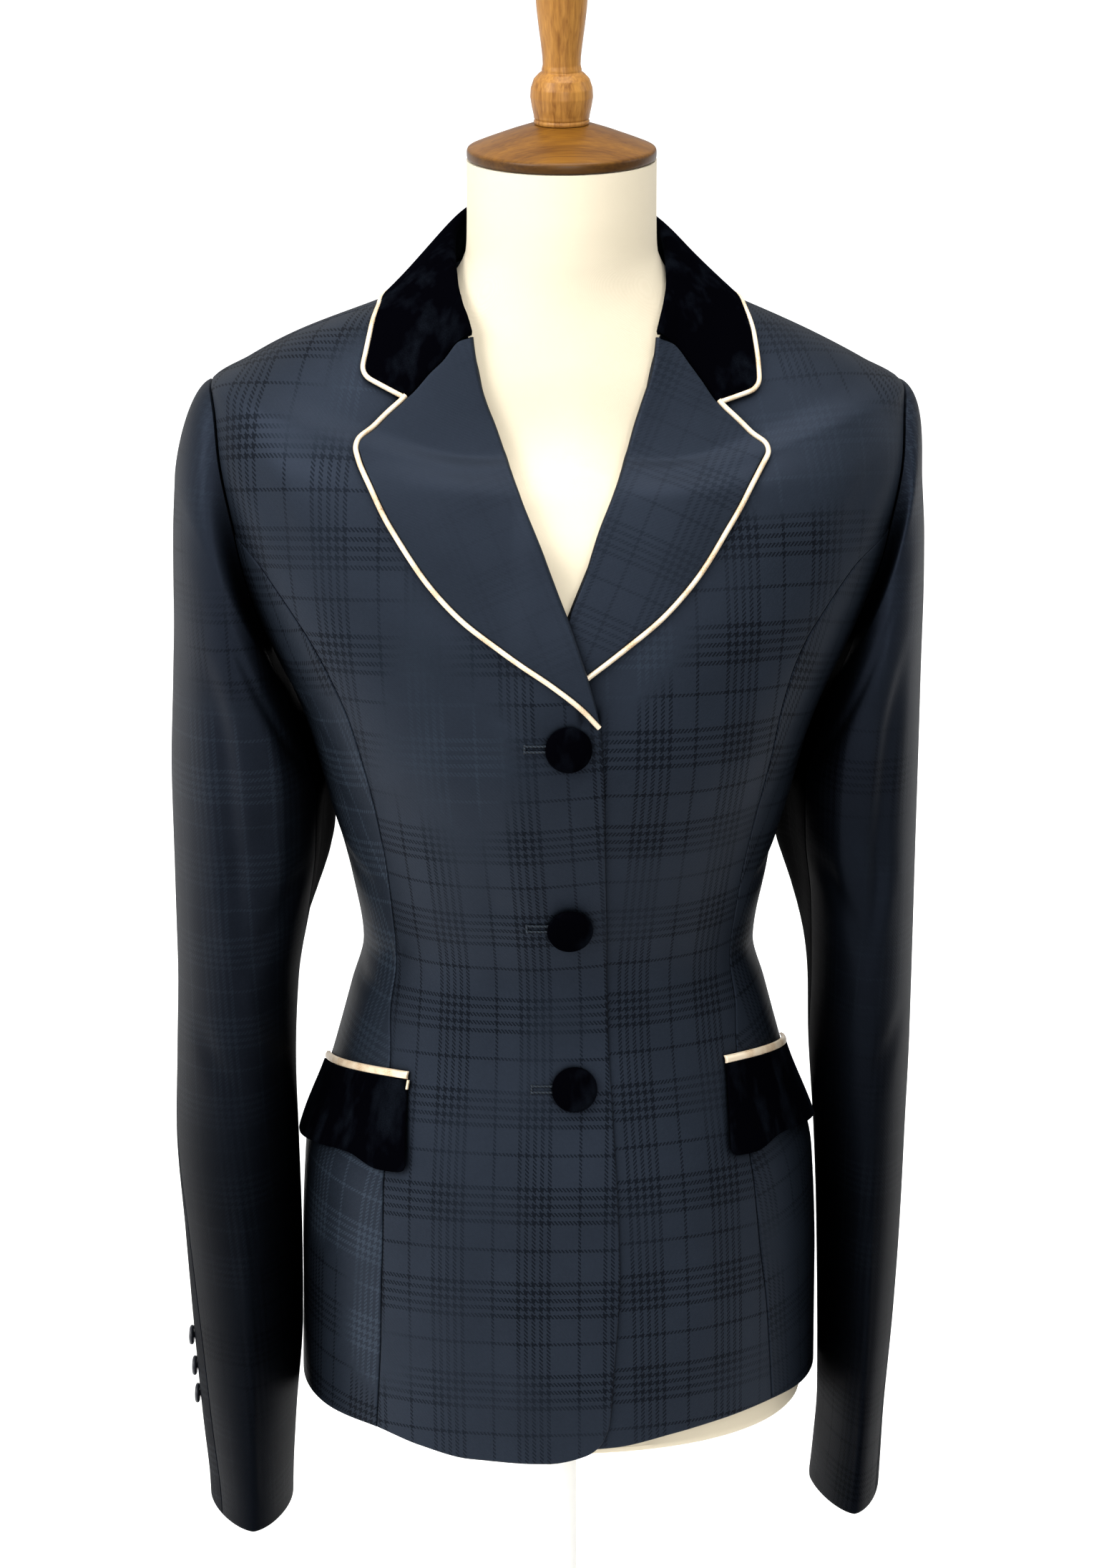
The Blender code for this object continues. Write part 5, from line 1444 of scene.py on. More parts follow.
@dataclass
class Collar:
    """The velvet collar, in one piece with its stand, and the piping round its edge."""

    finishes: Finishes
    stations: int = 168
    fall_columns: int = 40
    stand_columns: int = 8
    fold_columns: int = 9
    split: float = 5 / 7            # share of its front end that is sewn along the gorge
    clear: tuple[float, float] = (0.45, 0.6)    # from the gorge to its end, turn and up
    bulge: float = 4.5              # how far it is rounded between its fold and its edge
    end_reach: float = 0.25         # share of the collar over which an end's shape fades
    end_start: float = 1 / 7        # share of the fall from which it is fully drawn there
    end_lift: float = 0.6           # further space under it there
    leaf_lift: float = 0.4          # and along the rest of its edge
    seam_drop: float = 25.0         # how far the neck seam runs down at its two ends
    seam_reach: float = 1.6         # stations over which it does
    bulge_rise: float = 0.9         # how far that pulls it up, in radii of the fold
    fold_radius: float = 2.6
    fold_end: float = 80.0          # degrees up round the fold from where the fall starts
    stand_inset: float = 2.5
    corner_radius: float = 4.5
    piping_radius: float = 1.4
    piping_drop: float = 0.8
    corners: dict[Side, tuple] = by_side((-67.5, 682.5), (65.0, 678.0))
    rows: Table = table("station seam fold_x fold_y fold_z leaf_turn leaf_up", [
        (0, -48, -52.6, -55, 868, -67.5, 682.5),
        (0.45, -51.6, -55.3, -49.3, 877, -68.9, 690),
        (1, -56, -57.5, -42, 882, -70.6, 699),
        (2, -68, -60, -27, 892.5, -75.6, 716.5),
        (3, -84, -60.5, -8, 903, -86, 733),
        (4, -104, -59, 16, 911, -103, 737),
        (5, -130, -48, 43, 919.5, -130, 736),
        (6, -158, -23, 61, 924.5, -158, 734),
        (7, -180, 0, 66, 926, -180, 733),
        (8, -202, 23, 61, 924.5, -202, 734),
        (9, -230, 48, 43, 919.5, -230, 736),
        (10, -256, 60, 16, 912, -257, 736),
        (11, -276, 61.5, -8, 904, -276.5, 729),
        (12, -292, 61, -27, 893, -286.7, 710),
        (13, -304, 58, -42, 882, -291.4, 693.6),
        (13.55, -308.4, 55.4, -49.3, 875.5, -293.3, 685.5),
        (14, -312, 52.4, -55.4, 866.8, -295, 678),
    ])

    def _fall_shares(self) -> Array:
        """Shares down the fall, closer together where its edge rolls in."""
        return np.concatenate([np.linspace(0.0, 0.97, self.fall_columns)[1:],
                               [0.98, 0.988, 0.994, 0.997, 1.0]])

    def _end(self, side: Side, share: Array) -> tuple[Array, Array]:
        """Places on its front end: along the gorge, then its free edge."""
        gorge = GORGES[side]
        along = np.minimum(share / self.split, 1.0)
        turn = gorge.read("turn", along) + side.value * self.clear[0]
        up = gorge.read("up", along) + self.clear[1]
        t = np.clip((share - self.split) / (1 - self.split), 0.0, 1.0)
        corner = self.corners[side]
        return turn + (corner[0] - turn) * t, up + (corner[1] - up) * t

    def _grid(self) -> Array:
        """Outer points: neck seam, stand, fold, then the leaf to its edge."""
        last = self.rows.key[-1]
        station = np.linspace(0.0, last, self.stations)
        end = np.minimum(station, last - station)
        fold = np.stack([self.rows.read(c, station) for c in ("fold_x", "fold_y", "fold_z")],
                        axis=1)
        outward = unit(fold * np.array([1.0, 1.0, 0.0]))
        fold = fold + np.array([TORSO.shift, 0.0, 0.0])
        lift = np.array([0.0, 0.0, 1.0])
        seam_up = TORSO.top - self.seam_drop * smooth(-end, -self.seam_reach, 0.0)
        seam = TORSO.point(self.rows.read("seam", station), seam_up, LIE + CLOTH)
        leaf = TORSO.point(self.rows.read("leaf_turn", station),
                           self.rows.read("leaf_up", station), LIE + CLOTH + self.leaf_lift)
        foot = seam - outward * self.stand_inset
        neck_side = fold - outward * self.fold_radius
        columns = [foot + (neck_side - foot) * t
                   for t in np.linspace(0.0, 1.0, self.stand_columns, endpoint=False)]
        for angle in np.linspace(math.pi, math.radians(self.fold_end), self.fold_columns):
            columns.append(fold + (outward * math.cos(angle) + lift * math.sin(angle))
                           * self.fold_radius)
        start = columns[-1]
        pull = (fold + outward * (self.fold_radius + self.bulge)
                + lift * self.fold_radius * self.bulge_rise)
        shares = self._fall_shares()
        for t in shares:
            columns.append((1 - t) ** 2 * start + 2 * t * (1 - t) * pull + t * t * leaf)
        grid = np.stack(columns, axis=1)
        fall = len(columns) - len(shares)
        # The fall's two ends are drawn to the gorge and to the collar's notch
        for side, rows in ((Side.RIGHT, slice(None)), (Side.LEFT, slice(None, None, -1))):
            ends = grid[rows]
            turn, up = self._end(side, np.maximum(shares, self.end_start))
            move = TORSO.point(turn, up, LIE + CLOTH + self.end_lift) - ends[0, fall:]
            move *= np.minimum(shares / self.end_start, 1.0)[:, None]
            place = np.linspace(0.0, 1.0, self.stations)
            fade = np.maximum(0.0, 1 - place / self.end_reach) ** 2
            fade[len(fade) // 2:] = 0.0
            ends[:, fall:] += fade[:, None, None] * move[None]
        return grid

    def build(self) -> None:
        """Build the collar and its piping."""
        grid = self._grid()
        for row in (0, -1):
            grid = round_corner(grid, row, self.corner_radius)
        normals = grid_normals(grid)
        if np.sum(normals[:, -1, 2]) < 0:
            normals = -normals
        outer, inner = folded(grid, normals, FREE_EDGES)
        middle = len(grid) // 2
        flat = laid_flat((outer + inner) / 2, ((middle, grid.shape[1] - 1), (middle, 1)))
        sew("velvet_collar", "black_velvet", "collar", (outer, inner), self.finishes.velvet,
            flat)
        shares = self._fall_shares()
        start = nearest(shares, self.split) - len(shares)
        edge, out = (np.concatenate([face[0, start:], face[1:-1, -1], face[-1, start:][::-1]])
                     for face in (grid, normals))
        line = beside(edge, out, 1, self.piping_radius + PIPING_GAP, self.piping_drop)
        piping = PipingTree("piping", self.finishes.trim, self.piping_radius).make(
            [line], "collar_cord")
        dress(piping, "champagne_leather", "collar_piping")


# Sleeves, a row per ring from the head down
SLEEVE_ROWS = [
    # ring, its outer line's x and z, its inner line's, centre y, depth, square
    (0, 212.8, 776, 157.5, 652, 3, 60, 2.1), (1, 215.5, 740, 151, 634, 4, 65, 2.1),
    (2, 216.3, 700, 144.5, 615, 5, 68, 2.1), (3, 216.3, 655, 139.5, 592, 6, 68.5, 2.1),
    (4, 216.2, 600, 141, 560, 6, 66.5, 2.05), (5, 216, 545, 144.5, 523, 5, 64, 2),
    (6, 215.5, 490, 148.8, 478, 3, 62, 1.95), (7, 214.8, 435, 152, 430, -1, 60, 1.85),
    (8, 213.7, 380, 153.3, 377, -5, 59, 1.75), (9, 212, 325, 154.2, 323, -9, 58, 1.68),
    (10, 209.5, 270, 155.6, 269, -12.5, 57, 1.62),
    (11, 206, 215, 156.5, 214, -15.5, 56.5, 1.58),
    (12, 202.6, 180, 157.2, 180, -17, 56, 1.56),
    (13, 200.5, 161, 157.5, 161, -18, 55.5, 1.56),
]
# How far each sleeve's outer and inner line hangs outwards from the rows above
SLEEVE_HANG_ROWS = [
    # ring, right outer and inner, left outer and inner
    (0, 5, -4, -5, -4), (1, 4, -4.4, -5.7, -4.4), (2, 3.6, -3.7, -6.2, -4),
    (3, 5, -3.6, -6.7, -3.4), (4, 7, -3.2, -7, -2.2), (5, 6.6, -0.6, -7.5, 0.4),
    (6, 6.5, 2.8, -7.7, -1), (7, 8.6, 2, -8, -3.8), (8, 11, -0.3, -9, -2),
    (9, 9, -2.2, -9.5, -1), (10, 8, -3.2, -10.3, -1.5), (11, 7.5, 0.5, -11.5, -2),
    (12, 7.5, 2, -10, -5), (13, 8.5, 2.5, -9, -7.5),
]


# Creases of a sleeve: degrees from its outermost line to the front, rings from its head
SLEEVE_CREASES = [
    # from degrees  ring  to degrees  ring  width  depth
    # fullness behind the arm, which lies up against the side of the back
    (212, 0.8, 218, 6.4, 20, 12),
    (202, 0.8, 206, 5.6, 12, 5),
    # from the armhole to the elbow, and down the pressed edges
    (60, 1.8, 94, 6.2, 10, -3.6),
    (108, 1.6, 118, 5.4, 9, 1.8),
    (70, 0.5, 150, 2.6, 10, -1.2),
    (120, 3.2, 60, 5.2, 10, -1.5),
    (150, 4, 84, 6, 9, -1.5),
    (60, 4.6, 120, 6.8, 9, 1),
    (40, 6.4, 110, 7.4, 10, -1.2),
    (88, 7.5, 96, 12.6, 5, 1),
    (200, 3, 262, 5.4, 10, -1.6),
    (230, 4.6, 300, 6.2, 10, -1.4),
    (250, 1, 280, 3.4, 10, -1.2),
    (265, 7, 272, 12.6, 6, 1),
]


@dataclass
class Sleeves:
    """Two-piece sleeves, each a top sleeve and an under sleeve, with their cuff buttons."""

    finishes: Finishes
    twist: float = 72.0             # degrees that the seams turn from shoulder to cuff
    cuff_drop: float = 3.0
    cuff_rings: tuple[float, float] = (11.5, 13.0)      # over which it drops
    # The head's way out and down from the armhole, the reach of that way in millimetres,
    # and the share of the first ring's slope that it arrives with
    head_top: tuple[float, ...] = (0.97, 0.24, 40.0, 1.25)
    head_foot: tuple[float, ...] = (0.45, 0.88, 20.0, 1.15)
    head_forward: float = 0.35
    head_inset: float = 0.45        # how far inside the armhole it starts
    head_roll: float = 0.9
    head_rows: int = 34
    ring_rows: int = 168
    columns: int = 60
    seam_roll: float = 0.8
    crease_ease: float = 6.0
    mean_radius: float = 60.0
    cuts: dict = field(default_factory=lambda: {"top": (324.0, 504.0), "under": (144.0, 324.0)})
    rows: Table = table("ring out_x out_z in_x in_z centre_y depth square", SLEEVE_ROWS)
    hang: Table = table("ring right_out right_in left_out left_in", SLEEVE_HANG_ROWS)
    degree_scale: float = 1.0       # millimetres to a degree, where creases are placed
    ring_scale: float = 50.0        # and to a ring
    creases: tuple[Crease, ...] = creases_of(SLEEVE_CREASES)

    def point(self, side: Side, ring: Array, degrees: Array) -> Array:
        """Points of its outer face, degrees round from the outermost line to the front."""
        ring, degrees = np.broadcast_arrays(*(np.asarray(v, float) for v in (ring, degrees)))
        read = self.rows.read_all(ring)
        drop = self.cuff_drop * smooth(ring, *self.cuff_rings)
        zero = np.zeros_like(ring)
        outer, inner = (np.stack([
            side.value * (read[line + "_x"] + self.hang.read(f"{side.label}_{line}", ring)),
            zero, read[line + "_z"] - drop], axis=-1) for line in ("out", "in"))
        centre, half = (outer + inner) / 2, (outer - inner) / 2
        sine, cosine = np.sin(np.radians(degrees)), np.cos(np.radians(degrees))
        square = read["square"]
        reach = (np.abs(sine) ** square + np.abs(cosine) ** square) ** (-1 / square)
        forward = read["centre_y"] - read["depth"] * reach * sine
        sideways = np.stack([zero + TORSO.shift, forward, zero], axis=-1)
        return centre + half * (reach * cosine)[..., None] + sideways

    def _grid(self, side: Side, degrees: Array) -> tuple[Array, Array, Array]:
        """Points of its outer face over some of its round, with their degrees and rings."""
        last = self.rows.key[-1]
        ring = np.linspace(0.0, last, self.ring_rows)
        close = last - np.array([1.2, 0.6, 0.25, 0.0]) / self.ring_scale
        ring = np.concatenate([ring[:-1], close])[:, None]
        turned = degrees[None, :] + self.twist * smooth(ring, 1.0, last)
        body = self.point(side, ring, turned)
        turn, up = LINES.armhole(side, degrees, self.head_inset)
        start = TORSO.point(turn, up)
        first = self.point(side, 0.0, degrees)
        second = self.point(side, 1.0, degrees + self.twist * smooth(1.0, 1.0, last))
        top = ((1 + np.cos(np.radians(degrees))) / 2)[:, None]
        out, drop, reach, arrival = (
            high * top + low * (1 - top) for high, low in zip(self.head_top, self.head_foot))
        forward = -self.head_forward * np.sin(np.radians(degrees))[:, None]
        leave = np.concatenate([side.value * out, forward, -drop], axis=1) * reach
        arrive = (second - first) * arrival
        t = np.linspace(0.0, 1.0, self.head_rows, endpoint=False)[:, None, None]
        head = hermite(t, start, leave, first, arrive)
        rings = np.concatenate([np.linspace(-1.0, 0.0, self.head_rows, endpoint=False)[:, None],
                                ring]) + 0 * degrees[None, :]
        angles = np.concatenate([np.zeros((self.head_rows, 1)) + degrees[None, :], turned])
        return np.concatenate([head, body]), angles % 360.0, rings

    def _panel(self, side: Side, label: str) -> None:
        """Build a top or under sleeve."""
        first, last = self.cuts[label]
        gap = math.degrees(SEAM / 2 / self.mean_radius)
        degrees = first + gap + (last - first - 2 * gap) * spread(self.columns)
        grid, angles, rings = self._grid(side, degrees)
        normals = grid_normals(grid) * -side.value
        away = grid - self.point(side, np.clip(rings, 0, None), angles + 180.0)
        normals *= np.sign(np.mean(np.sum(normals * away, axis=2)))
        distances = edge_distances(grid)
        sunk = rolled(distances, {**dict.fromkeys(("first_column", "last_column"),
                                                  self.seam_roll),
                                  "first_row": self.head_roll})
        fold = rolled(distances, {"last_row": FOLD})
        relief = sum(crease.relief(angles, rings, (self.degree_scale, self.ring_scale))
                     for crease in self.creases)
        rim = np.minimum(distances["first_column"], distances["last_column"])
        relief = relief * smooth(rim, 0.0, self.crease_ease)
        outer = grid + normals * (relief - np.maximum(sunk, fold))[..., None]
        inner = grid + normals * (relief + fold - CLOTH)[..., None]
        middle = grid.shape[1] // 2
        flat = laid_flat(grid, ((len(grid) - 10, middle), (self.head_rows + 10, middle)))
        sew(f"{label}_sleeve_{side.label}", "navy_worsted", f"sleeve_{label}_{side.label}",
            (outer, inner), self.finishes.sleeve if label == "top" else self.finishes.under,
            flat)

    def build(self) -> None:
        """Build both sleeves."""
        for side in Side:
            for label in self.cuts:
                self._panel(side, label)


def turned_piece(name: str, profile: Sequence[tuple[float, float]], segments: int,
                 material: Material, centre: Sequence[float] = (0.0, 0.0, 0.0),
                 axis: Sequence[float] = UPWARDS, step: float = 0.6) -> Thing:
    """A closed solid of revolution with a soft outline.

    Args:
        name: The piece.
        profile: Radius and height from bottom to top, in millimetres.
        segments: Steps round it.
        material: What it is made of.
        centre: The foot of its axis.
        axis: The way its axis points.
        step: The distance between two rings of the finished outline.

    Returns:
        The object.
    """
    axis = unit(np.asarray(axis, float))
    side = np.cross(axis, UPWARDS)
    side = unit(side) if np.linalg.norm(side) > 1e-6 else np.array([1.0, 0.0, 0.0])
    other = np.cross(axis, side)
    outline = np.array([(r, h, 0.0) for r, h in profile])
    outline = relaxed(resampled(outline, step), 2)
    angle = 2 * np.pi * np.arange(segments) / segments
    spokes = side * np.cos(angle)[:, None] + other * np.sin(angle)[:, None]
    rings = (spokes[None] * outline[:, 0, None, None]
             + axis * outline[:, 1, None, None])
    verts = np.concatenate([rings.reshape(-1, 3), [axis * outline[0, 1]],
                            [axis * outline[-1, 1]]]) + np.asarray(centre, float)
    index = np.arange(len(outline) * segments).reshape(len(outline), segments)
    after = np.roll(index, -1, axis=1)
    faces = np.stack([index[:-1], after[:-1], after[1:], index[1:]],
                     axis=-1).reshape(-1, 4).tolist()
    faces += fan(len(verts) - 2, after[0], index[0])
    faces += fan(len(verts) - 1, index[-1], after[-1])
    return add_object(name, verts, faces, material, smooth_angle=50.0)


@dataclass
class CuffButtons:
    """Three small horn buttons down the outside of each cuff."""

    finishes: Finishes
    sleeves: Sleeves
    heights: tuple[float, ...] = (256.0, 238.0, 220.0)
    degrees: dict[Side, float] = by_side(-6.0, -24.0)
    lie: float = 0.1
    profile: tuple = ((1.6, 0), (1.7, 0.8), (4.6, 0.9), (5.7, 1.4), (6, 2.1), (5.9, 2.8),
                      (5.3, 3.4), (4.6, 3.5), (4, 2.9), (2, 2.7), (0.4, 2.7))

    def build(self) -> None:
        """Build the six buttons."""
        for side in Side:
            angle = self.degrees[side]
            for number, height in enumerate(self.heights, 1):
                rings = np.linspace(8.0, 13.0, 200)
                ring = rings[nearest(self.sleeves.rows.read("out_z", rings), height)]
                before, foot, after = self.sleeves.point(
                    side, ring, angle + np.array([-2.0, 0.0, 2.0]))
                axis = unit(np.cross(after - before, UPWARDS))
                axis *= math.copysign(1.0, axis[0] * side.value)
                name = f"{side.label}_{number}"
                button = turned_piece(f"horn_button_{name}", self.profile, 40,
                                      self.finishes.horn, foot + axis * self.lie, axis, 0.3)
                dress(button, "dark_button", f"cuff_button_{name}")


@dataclass
class Pockets:
    """Velvet pocket flaps under welts of foiled leather."""

    finishes: Finishes
    raised: dict[Side, float] = by_side(0.0, 5.0)
    stand: dict[Side, float] = by_side(1.0, 0.7)    # share of how far the flap stands off
    welt_height: float = 4.6
    welt_roll: float = 0.7
    tail_turn: float = 48.75        # where the right welt's turned-down end lies
    tail_width: float = 0.5         # in degrees
    tail_length: float = 5.4
    tail_depth: float = 1.2
    wave: float = 0.35              # how far the flap's foot waves in and out
    corner_radius: float = 5.0
    rows: Table = table("share top_turn top_up low_turn low_up off", [
        (0.00, 49.6, 220.5, 45.2, 167.2, 3),
        (0.15, 55.5, 219.5, 52.5, 166, 3.2),
        (0.35, 64.5, 217, 62, 170.5, 3.4),
        (0.60, 76.5, 212, 75, 166, 3.4),
        (0.80, 86.5, 206.5, 86, 161, 3.2),
        (1.00, 96, 200.5, 96.5, 157.5, 2.6),
    ])

    def _flap(self, side: Side) -> None:
        """Build a flap, which stands off a little at its foot."""
        share, v = spread(54)[:, None], spread(26)[None, :]
        read = self.rows.read_all(share)
        turn = side.value * (read["top_turn"] * (1 - v) + read["low_turn"] * v)
        up = read["top_up"] * (1 - v) + read["low_up"] * v + self.raised[side]
        off = LIE + CLOTH + (read["off"] - 1.0) * self.stand[side] * v ** 1.5
        face = TORSO.point(turn, up, off + self.wave * np.sin(share * 9.0 + 0.6) * v ** 2)
        for row in (0, -1):
            face = round_corner(face, row, self.corner_radius)
        middle = len(face) // 2
        flat = laid_flat(face, ((middle, face.shape[1] - 1), (middle, 0)))
        sew(f"velvet_flap_{side.label}", "black_velvet", f"pocket_flap_{side.label}",
            folded(face, TORSO.normal(turn, up), FREE_EDGES), self.finishes.velvet,
            flat)

    def _welt(self, side: Side) -> None:
        """Build a welt, a narrow strip just above the flap."""
        share, v = spread(60)[:, None], np.linspace(0.0, 1.0, 15)[None, :]
        turn = side.value * self.rows.read("top_turn", share) + 0 * v
        up = (self.rows.read("top_up", share) + self.raised[side] + SEAM * 2
              + self.welt_height * v)
        plump = 0.5 * np.sin(np.pi * v) - 0.25
        face = TORSO.point(turn, up, LIE + CLOTH + plump)
        normals = TORSO.normal(turn, up)
        distances = edge_distances(face)
        fold = rolled(distances, dict.fromkeys(distances, self.welt_roll))[..., None]
        verts = both_faces(face - normals * fold, face - normals * (CLOTH - 0.2))
        faces = wall_faces(*face.shape[:2])
        # The right strip's end is turned down beside the flap
        if side is Side.RIGHT:
            turn = (self.tail_turn + self.tail_width * np.linspace(0.0, 1.0, 5))[:, None]
            low = up[0, 0] - SEAM - self.tail_length * np.linspace(0.0, 1.0, 9)
            tail = [TORSO.point(side.value * turn, low, LIE + CLOTH - depth).reshape(-1, 3)
                    for depth in (0.0, self.tail_depth)]
            faces += (np.array(wall_faces(5, 9)) + len(verts)).tolist()
            verts = np.concatenate([verts, *tail])
        thing = add_object(f"welt_{side.label}", verts, faces, self.finishes.trim)
        dress(thing, "champagne_leather", f"pocket_welt_{side.label}")

    def build(self) -> None:
        """Build both pockets."""
        for side in Side:
            self._flap(side)
            self._welt(side)


@dataclass
class FrontButtons:
    """Three velvet-covered buttons and their worked buttonholes, down the right front."""

    finishes: Finishes
    places: tuple = ((-1.5, 438.2), (-0.5, 322.5), (1, 222.2))
    radius: float = 13.2
    hole_start: float = 6.0         # how far under its button a buttonhole begins
    hole_length: float = 10.6       # how far it shows past its button
    rib_gap: float = 1.75           # from the hole's middle line to each of its ribs
    rib_lift: float = 0.15          # from the cloth to their middle
    bar_lift: float = 0.2
    bar_reach: float = 1.35         # half the bar's length, in rib gaps
    profile: tuple = ((3, 0), (3.2, 1.4), (11.2, 1.6), (12.8, 1.9), (13.2, 2.6),
                      (13, 3.2), (12.5, 3.3), (12.6, 4.2), (12.2, 5.2), (11.2, 6),
                      (9.4, 6.6), (6.4, 7), (2.4, 7.3), (0.3, 7.35))

    def _button(self, number: int, turn: float, up: float) -> None:
        """Build one button on its shank."""
        out = OVERLAP.out(Side.RIGHT, turn, up) + SEAM
        foot, tip = TORSO.point(turn, up, out), TORSO.point(turn, up, out + 10.0)
        thing = turned_piece(f"covered_button_{number}", self.profile, 64,
                             self.finishes.velvet, foot, tip - foot, 0.45)
        dress(thing, "black_velvet", f"front_button_{number}")

    def _hole(self, turn: float, up: float) -> list[Array]:
        """Paths of a buttonhole: two ribs and the bar that closes its end."""
        degrees = math.degrees(1.0 / TORSO.sections.read("front", up))
        end = self.radius + self.hole_length
        ribs = turn - np.linspace(self.hole_start, end, 40) * degrees
        lines = [(ribs, up + sign * self.rib_gap, self.rib_lift) for sign in (-1, 1)]
        bar = up + np.linspace(-self.bar_reach, self.bar_reach, 9) * self.rib_gap
        lines.append((turn - end * degrees, bar, self.bar_lift))
        return [TORSO.point(turns, ups, OVERLAP.out(Side.RIGHT, turns, ups) + lift)
                for turns, ups, lift in lines]

    def build(self) -> None:
        """Build the buttons and all their buttonholes."""
        paths = []
        for number, (turn, up) in enumerate(self.places, 1):
            self._button(number, turn, up)
            paths += self._hole(turn, up)
        holes = StitchTree("buttonhole", self.finishes.thread).make(paths, "buttonholes")
        dress(holes, "navy_worsted")


@dataclass
class DressForm:
    """The limbless form in jersey, with its turned wooden cap and finial."""

    finishes: Finishes
    gap: float = 7.5                # from the coat's outer face to the form at the chest
    gap_hem: float = 10.0
    gap_shoulder: float = 12.0
    # That at the shoulder comes and goes over these levels
    shoulder_levels: tuple[float, ...] = (540.0, 600.0, 650.0, 720.0)
    bottom: float = 219.0
    foot_lift: float = 8.0
    segments: int = 160
    neck: Table = table("z half front back", [
        (893, 57.5, 50.4, 57), (901, 54.6, 51.6, 54.8), (912, 53.4, 52.4, 53.5),
        (930, 53.2, 53.2, 53.2), (956.4, 53.2, 53.2, 53.2),
    ])
    cap_profile: tuple = ((51.6, 956.8), (52.7, 957), (53.1, 957.8), (53.2, 960),
                          (53.1, 962), (52.8, 962.7), (52, 963.2), (46, 965.7),
                          (38, 968.8), (29, 972.2), (17, 976.2))
    finial_profile: tuple = (
        (15.2, 976.6), (15.6, 977.3), (15.6, 978.5), (14.9, 979.1), (15.5, 979.7),
        (15.7, 981.5), (16.7, 986), (17.6, 991.5), (17.3, 996.5), (15.6, 1001.6),
        (12.6, 1004.8), (11, 1005.8), (11.3, 1006.4), (11.1, 1007.4), (10.6, 1009.5),
        (10.8, 1014), (11.6, 1021), (12.8, 1030), (14, 1040), (14.8, 1050),
        (14.6, 1060), (12.4, 1068), (8, 1073), (2.5, 1074.8))

    def _body(self) -> None:
        """Build the form's body and neck."""
        levels = np.concatenate([[0.0], np.linspace(4.0, TORSO.top, 210)])[:, None]
        gap = self.gap + (self.gap_hem - self.gap) * (1 - smooth(levels, 0.0, 260.0))
        start, full, fade, end = self.shoulder_levels
        gap = gap + ((self.gap_shoulder - self.gap) * smooth(levels, start, full)
                     * (1 - smooth(levels, fade, end)))
        turn = (360.0 * np.arange(self.segments + 1) / self.segments)[None, :]
        body = TORSO.point(turn, levels, -gap) - np.array([TORSO.shift, 0.0, 0.0])
        low = body[0] * np.array([1.0, 1.0, 0.0])
        rim = [low * [s, s, 1] + [0, 0, self.bottom + h]
               for s, h in ((0.975, 0.0), (0.988, 0.5), (0.996, 1.8), (1.0, 4.0))]
        heights = np.linspace(self.neck.key[0], self.neck.key[-1], 30)[:, None]
        read, angle = self.neck.read_all(heights), np.radians(turn)
        depth = np.where(np.cos(angle) > 0, read["front"], read["back"])
        neck = np.stack([read["half"] * np.sin(angle), -depth * np.cos(angle),
                         heights + 0 * angle], axis=-1)
        grid = np.concatenate([np.array(rim), body[1:], neck])
        # The join of shoulders and neck is eased into a soft slope
        first = len(rim) + len(body) - 1
        for _ in range(12):
            part = grid[first - 8:first + 6]
            grid[first - 7:first + 5] = part[1:-1] / 2 + (part[:-2] + part[2:]) / 4
        # Its foot is cut a little higher on the right
        lift = self.foot_lift * smooth(-grid[..., 0], 15.0, 110.0)
        grid[..., 2] += lift * (1 - smooth(grid[..., 2], self.bottom, self.bottom + 90.0))
        distances = edge_distances(grid)
        flat = np.stack([distances["first_column"] - distances["first_column"][:, -1:] / 2,
                         distances["first_row"]], axis=-1)
        faces = grid_faces(*grid.shape[:2]).tolist()
        index = np.arange(grid.shape[0] * grid.shape[1]).reshape(grid.shape[:2])
        verts = np.concatenate([grid.reshape(-1, 3), [[0, 0, self.bottom],
                                                      [0, 0, self.neck.key[-1]]]])
        flat = np.concatenate([flat.reshape(-1, 2), np.zeros((2, 2))])
        faces += fan(len(verts) - 2, index[0, 1:], index[0, :-1])
        faces += fan(len(verts) - 1, index[-1, :-1], index[-1, 1:])
        thing = add_object("dress_form", verts, faces, self.finishes.jersey, flat)
        close_column(thing)
        dress(thing, "cream_jersey", "form_body")

    def build(self) -> None:
        """Build the form, its cap and its finial."""
        self._body()
        cap = turned_piece("wooden_cap", self.cap_profile, 96, self.finishes.cap_wood)
        dress(cap, "honey_wood", "neck_cap")
        finial = turned_piece("wooden_finial", self.finial_profile, 72, self.finishes.wood,
                              step=0.35)
        dress(finial, "honey_wood", "finial")


def close_column(thing: Thing) -> None:
    """Join the first and last column of a round mesh, whose points lie on each other."""
    modifier = thing.modifiers.new("close", "WELD")
    modifier.merge_threshold = 1e-5
    joined, old = baked(thing), thing.data
    thing.data = joined
    joined.name = thing.name
    bpy.data.meshes.remove(old)


@dataclass
class Stand:
    """The pole and round base, in white powder coat."""

    finishes: Finishes
    pole_profile: tuple = ((9, 22.3), (9, 120), (9, 218.7))
    base_profile: tuple = ((148, 0), (149.4, 0.6), (150, 2), (150, 7), (149.2, 8.7),
                           (147, 9.5), (60, 11.5), (26, 12.8), (20.4, 14.2),
                           (18.6, 17), (18, 21), (17.6, 21.7), (16.5, 22))

    def build(self) -> None:
        """Build the pole and the base."""
        pole = turned_piece("steel_pole", self.pole_profile, 48, self.finishes.steel, step=4.0)
        dress(pole, "white_steel", "pole")
        base = turned_piece("steel_base", self.base_profile, 120, self.finishes.steel, step=1.0)
        dress(base, "white_steel", "base")


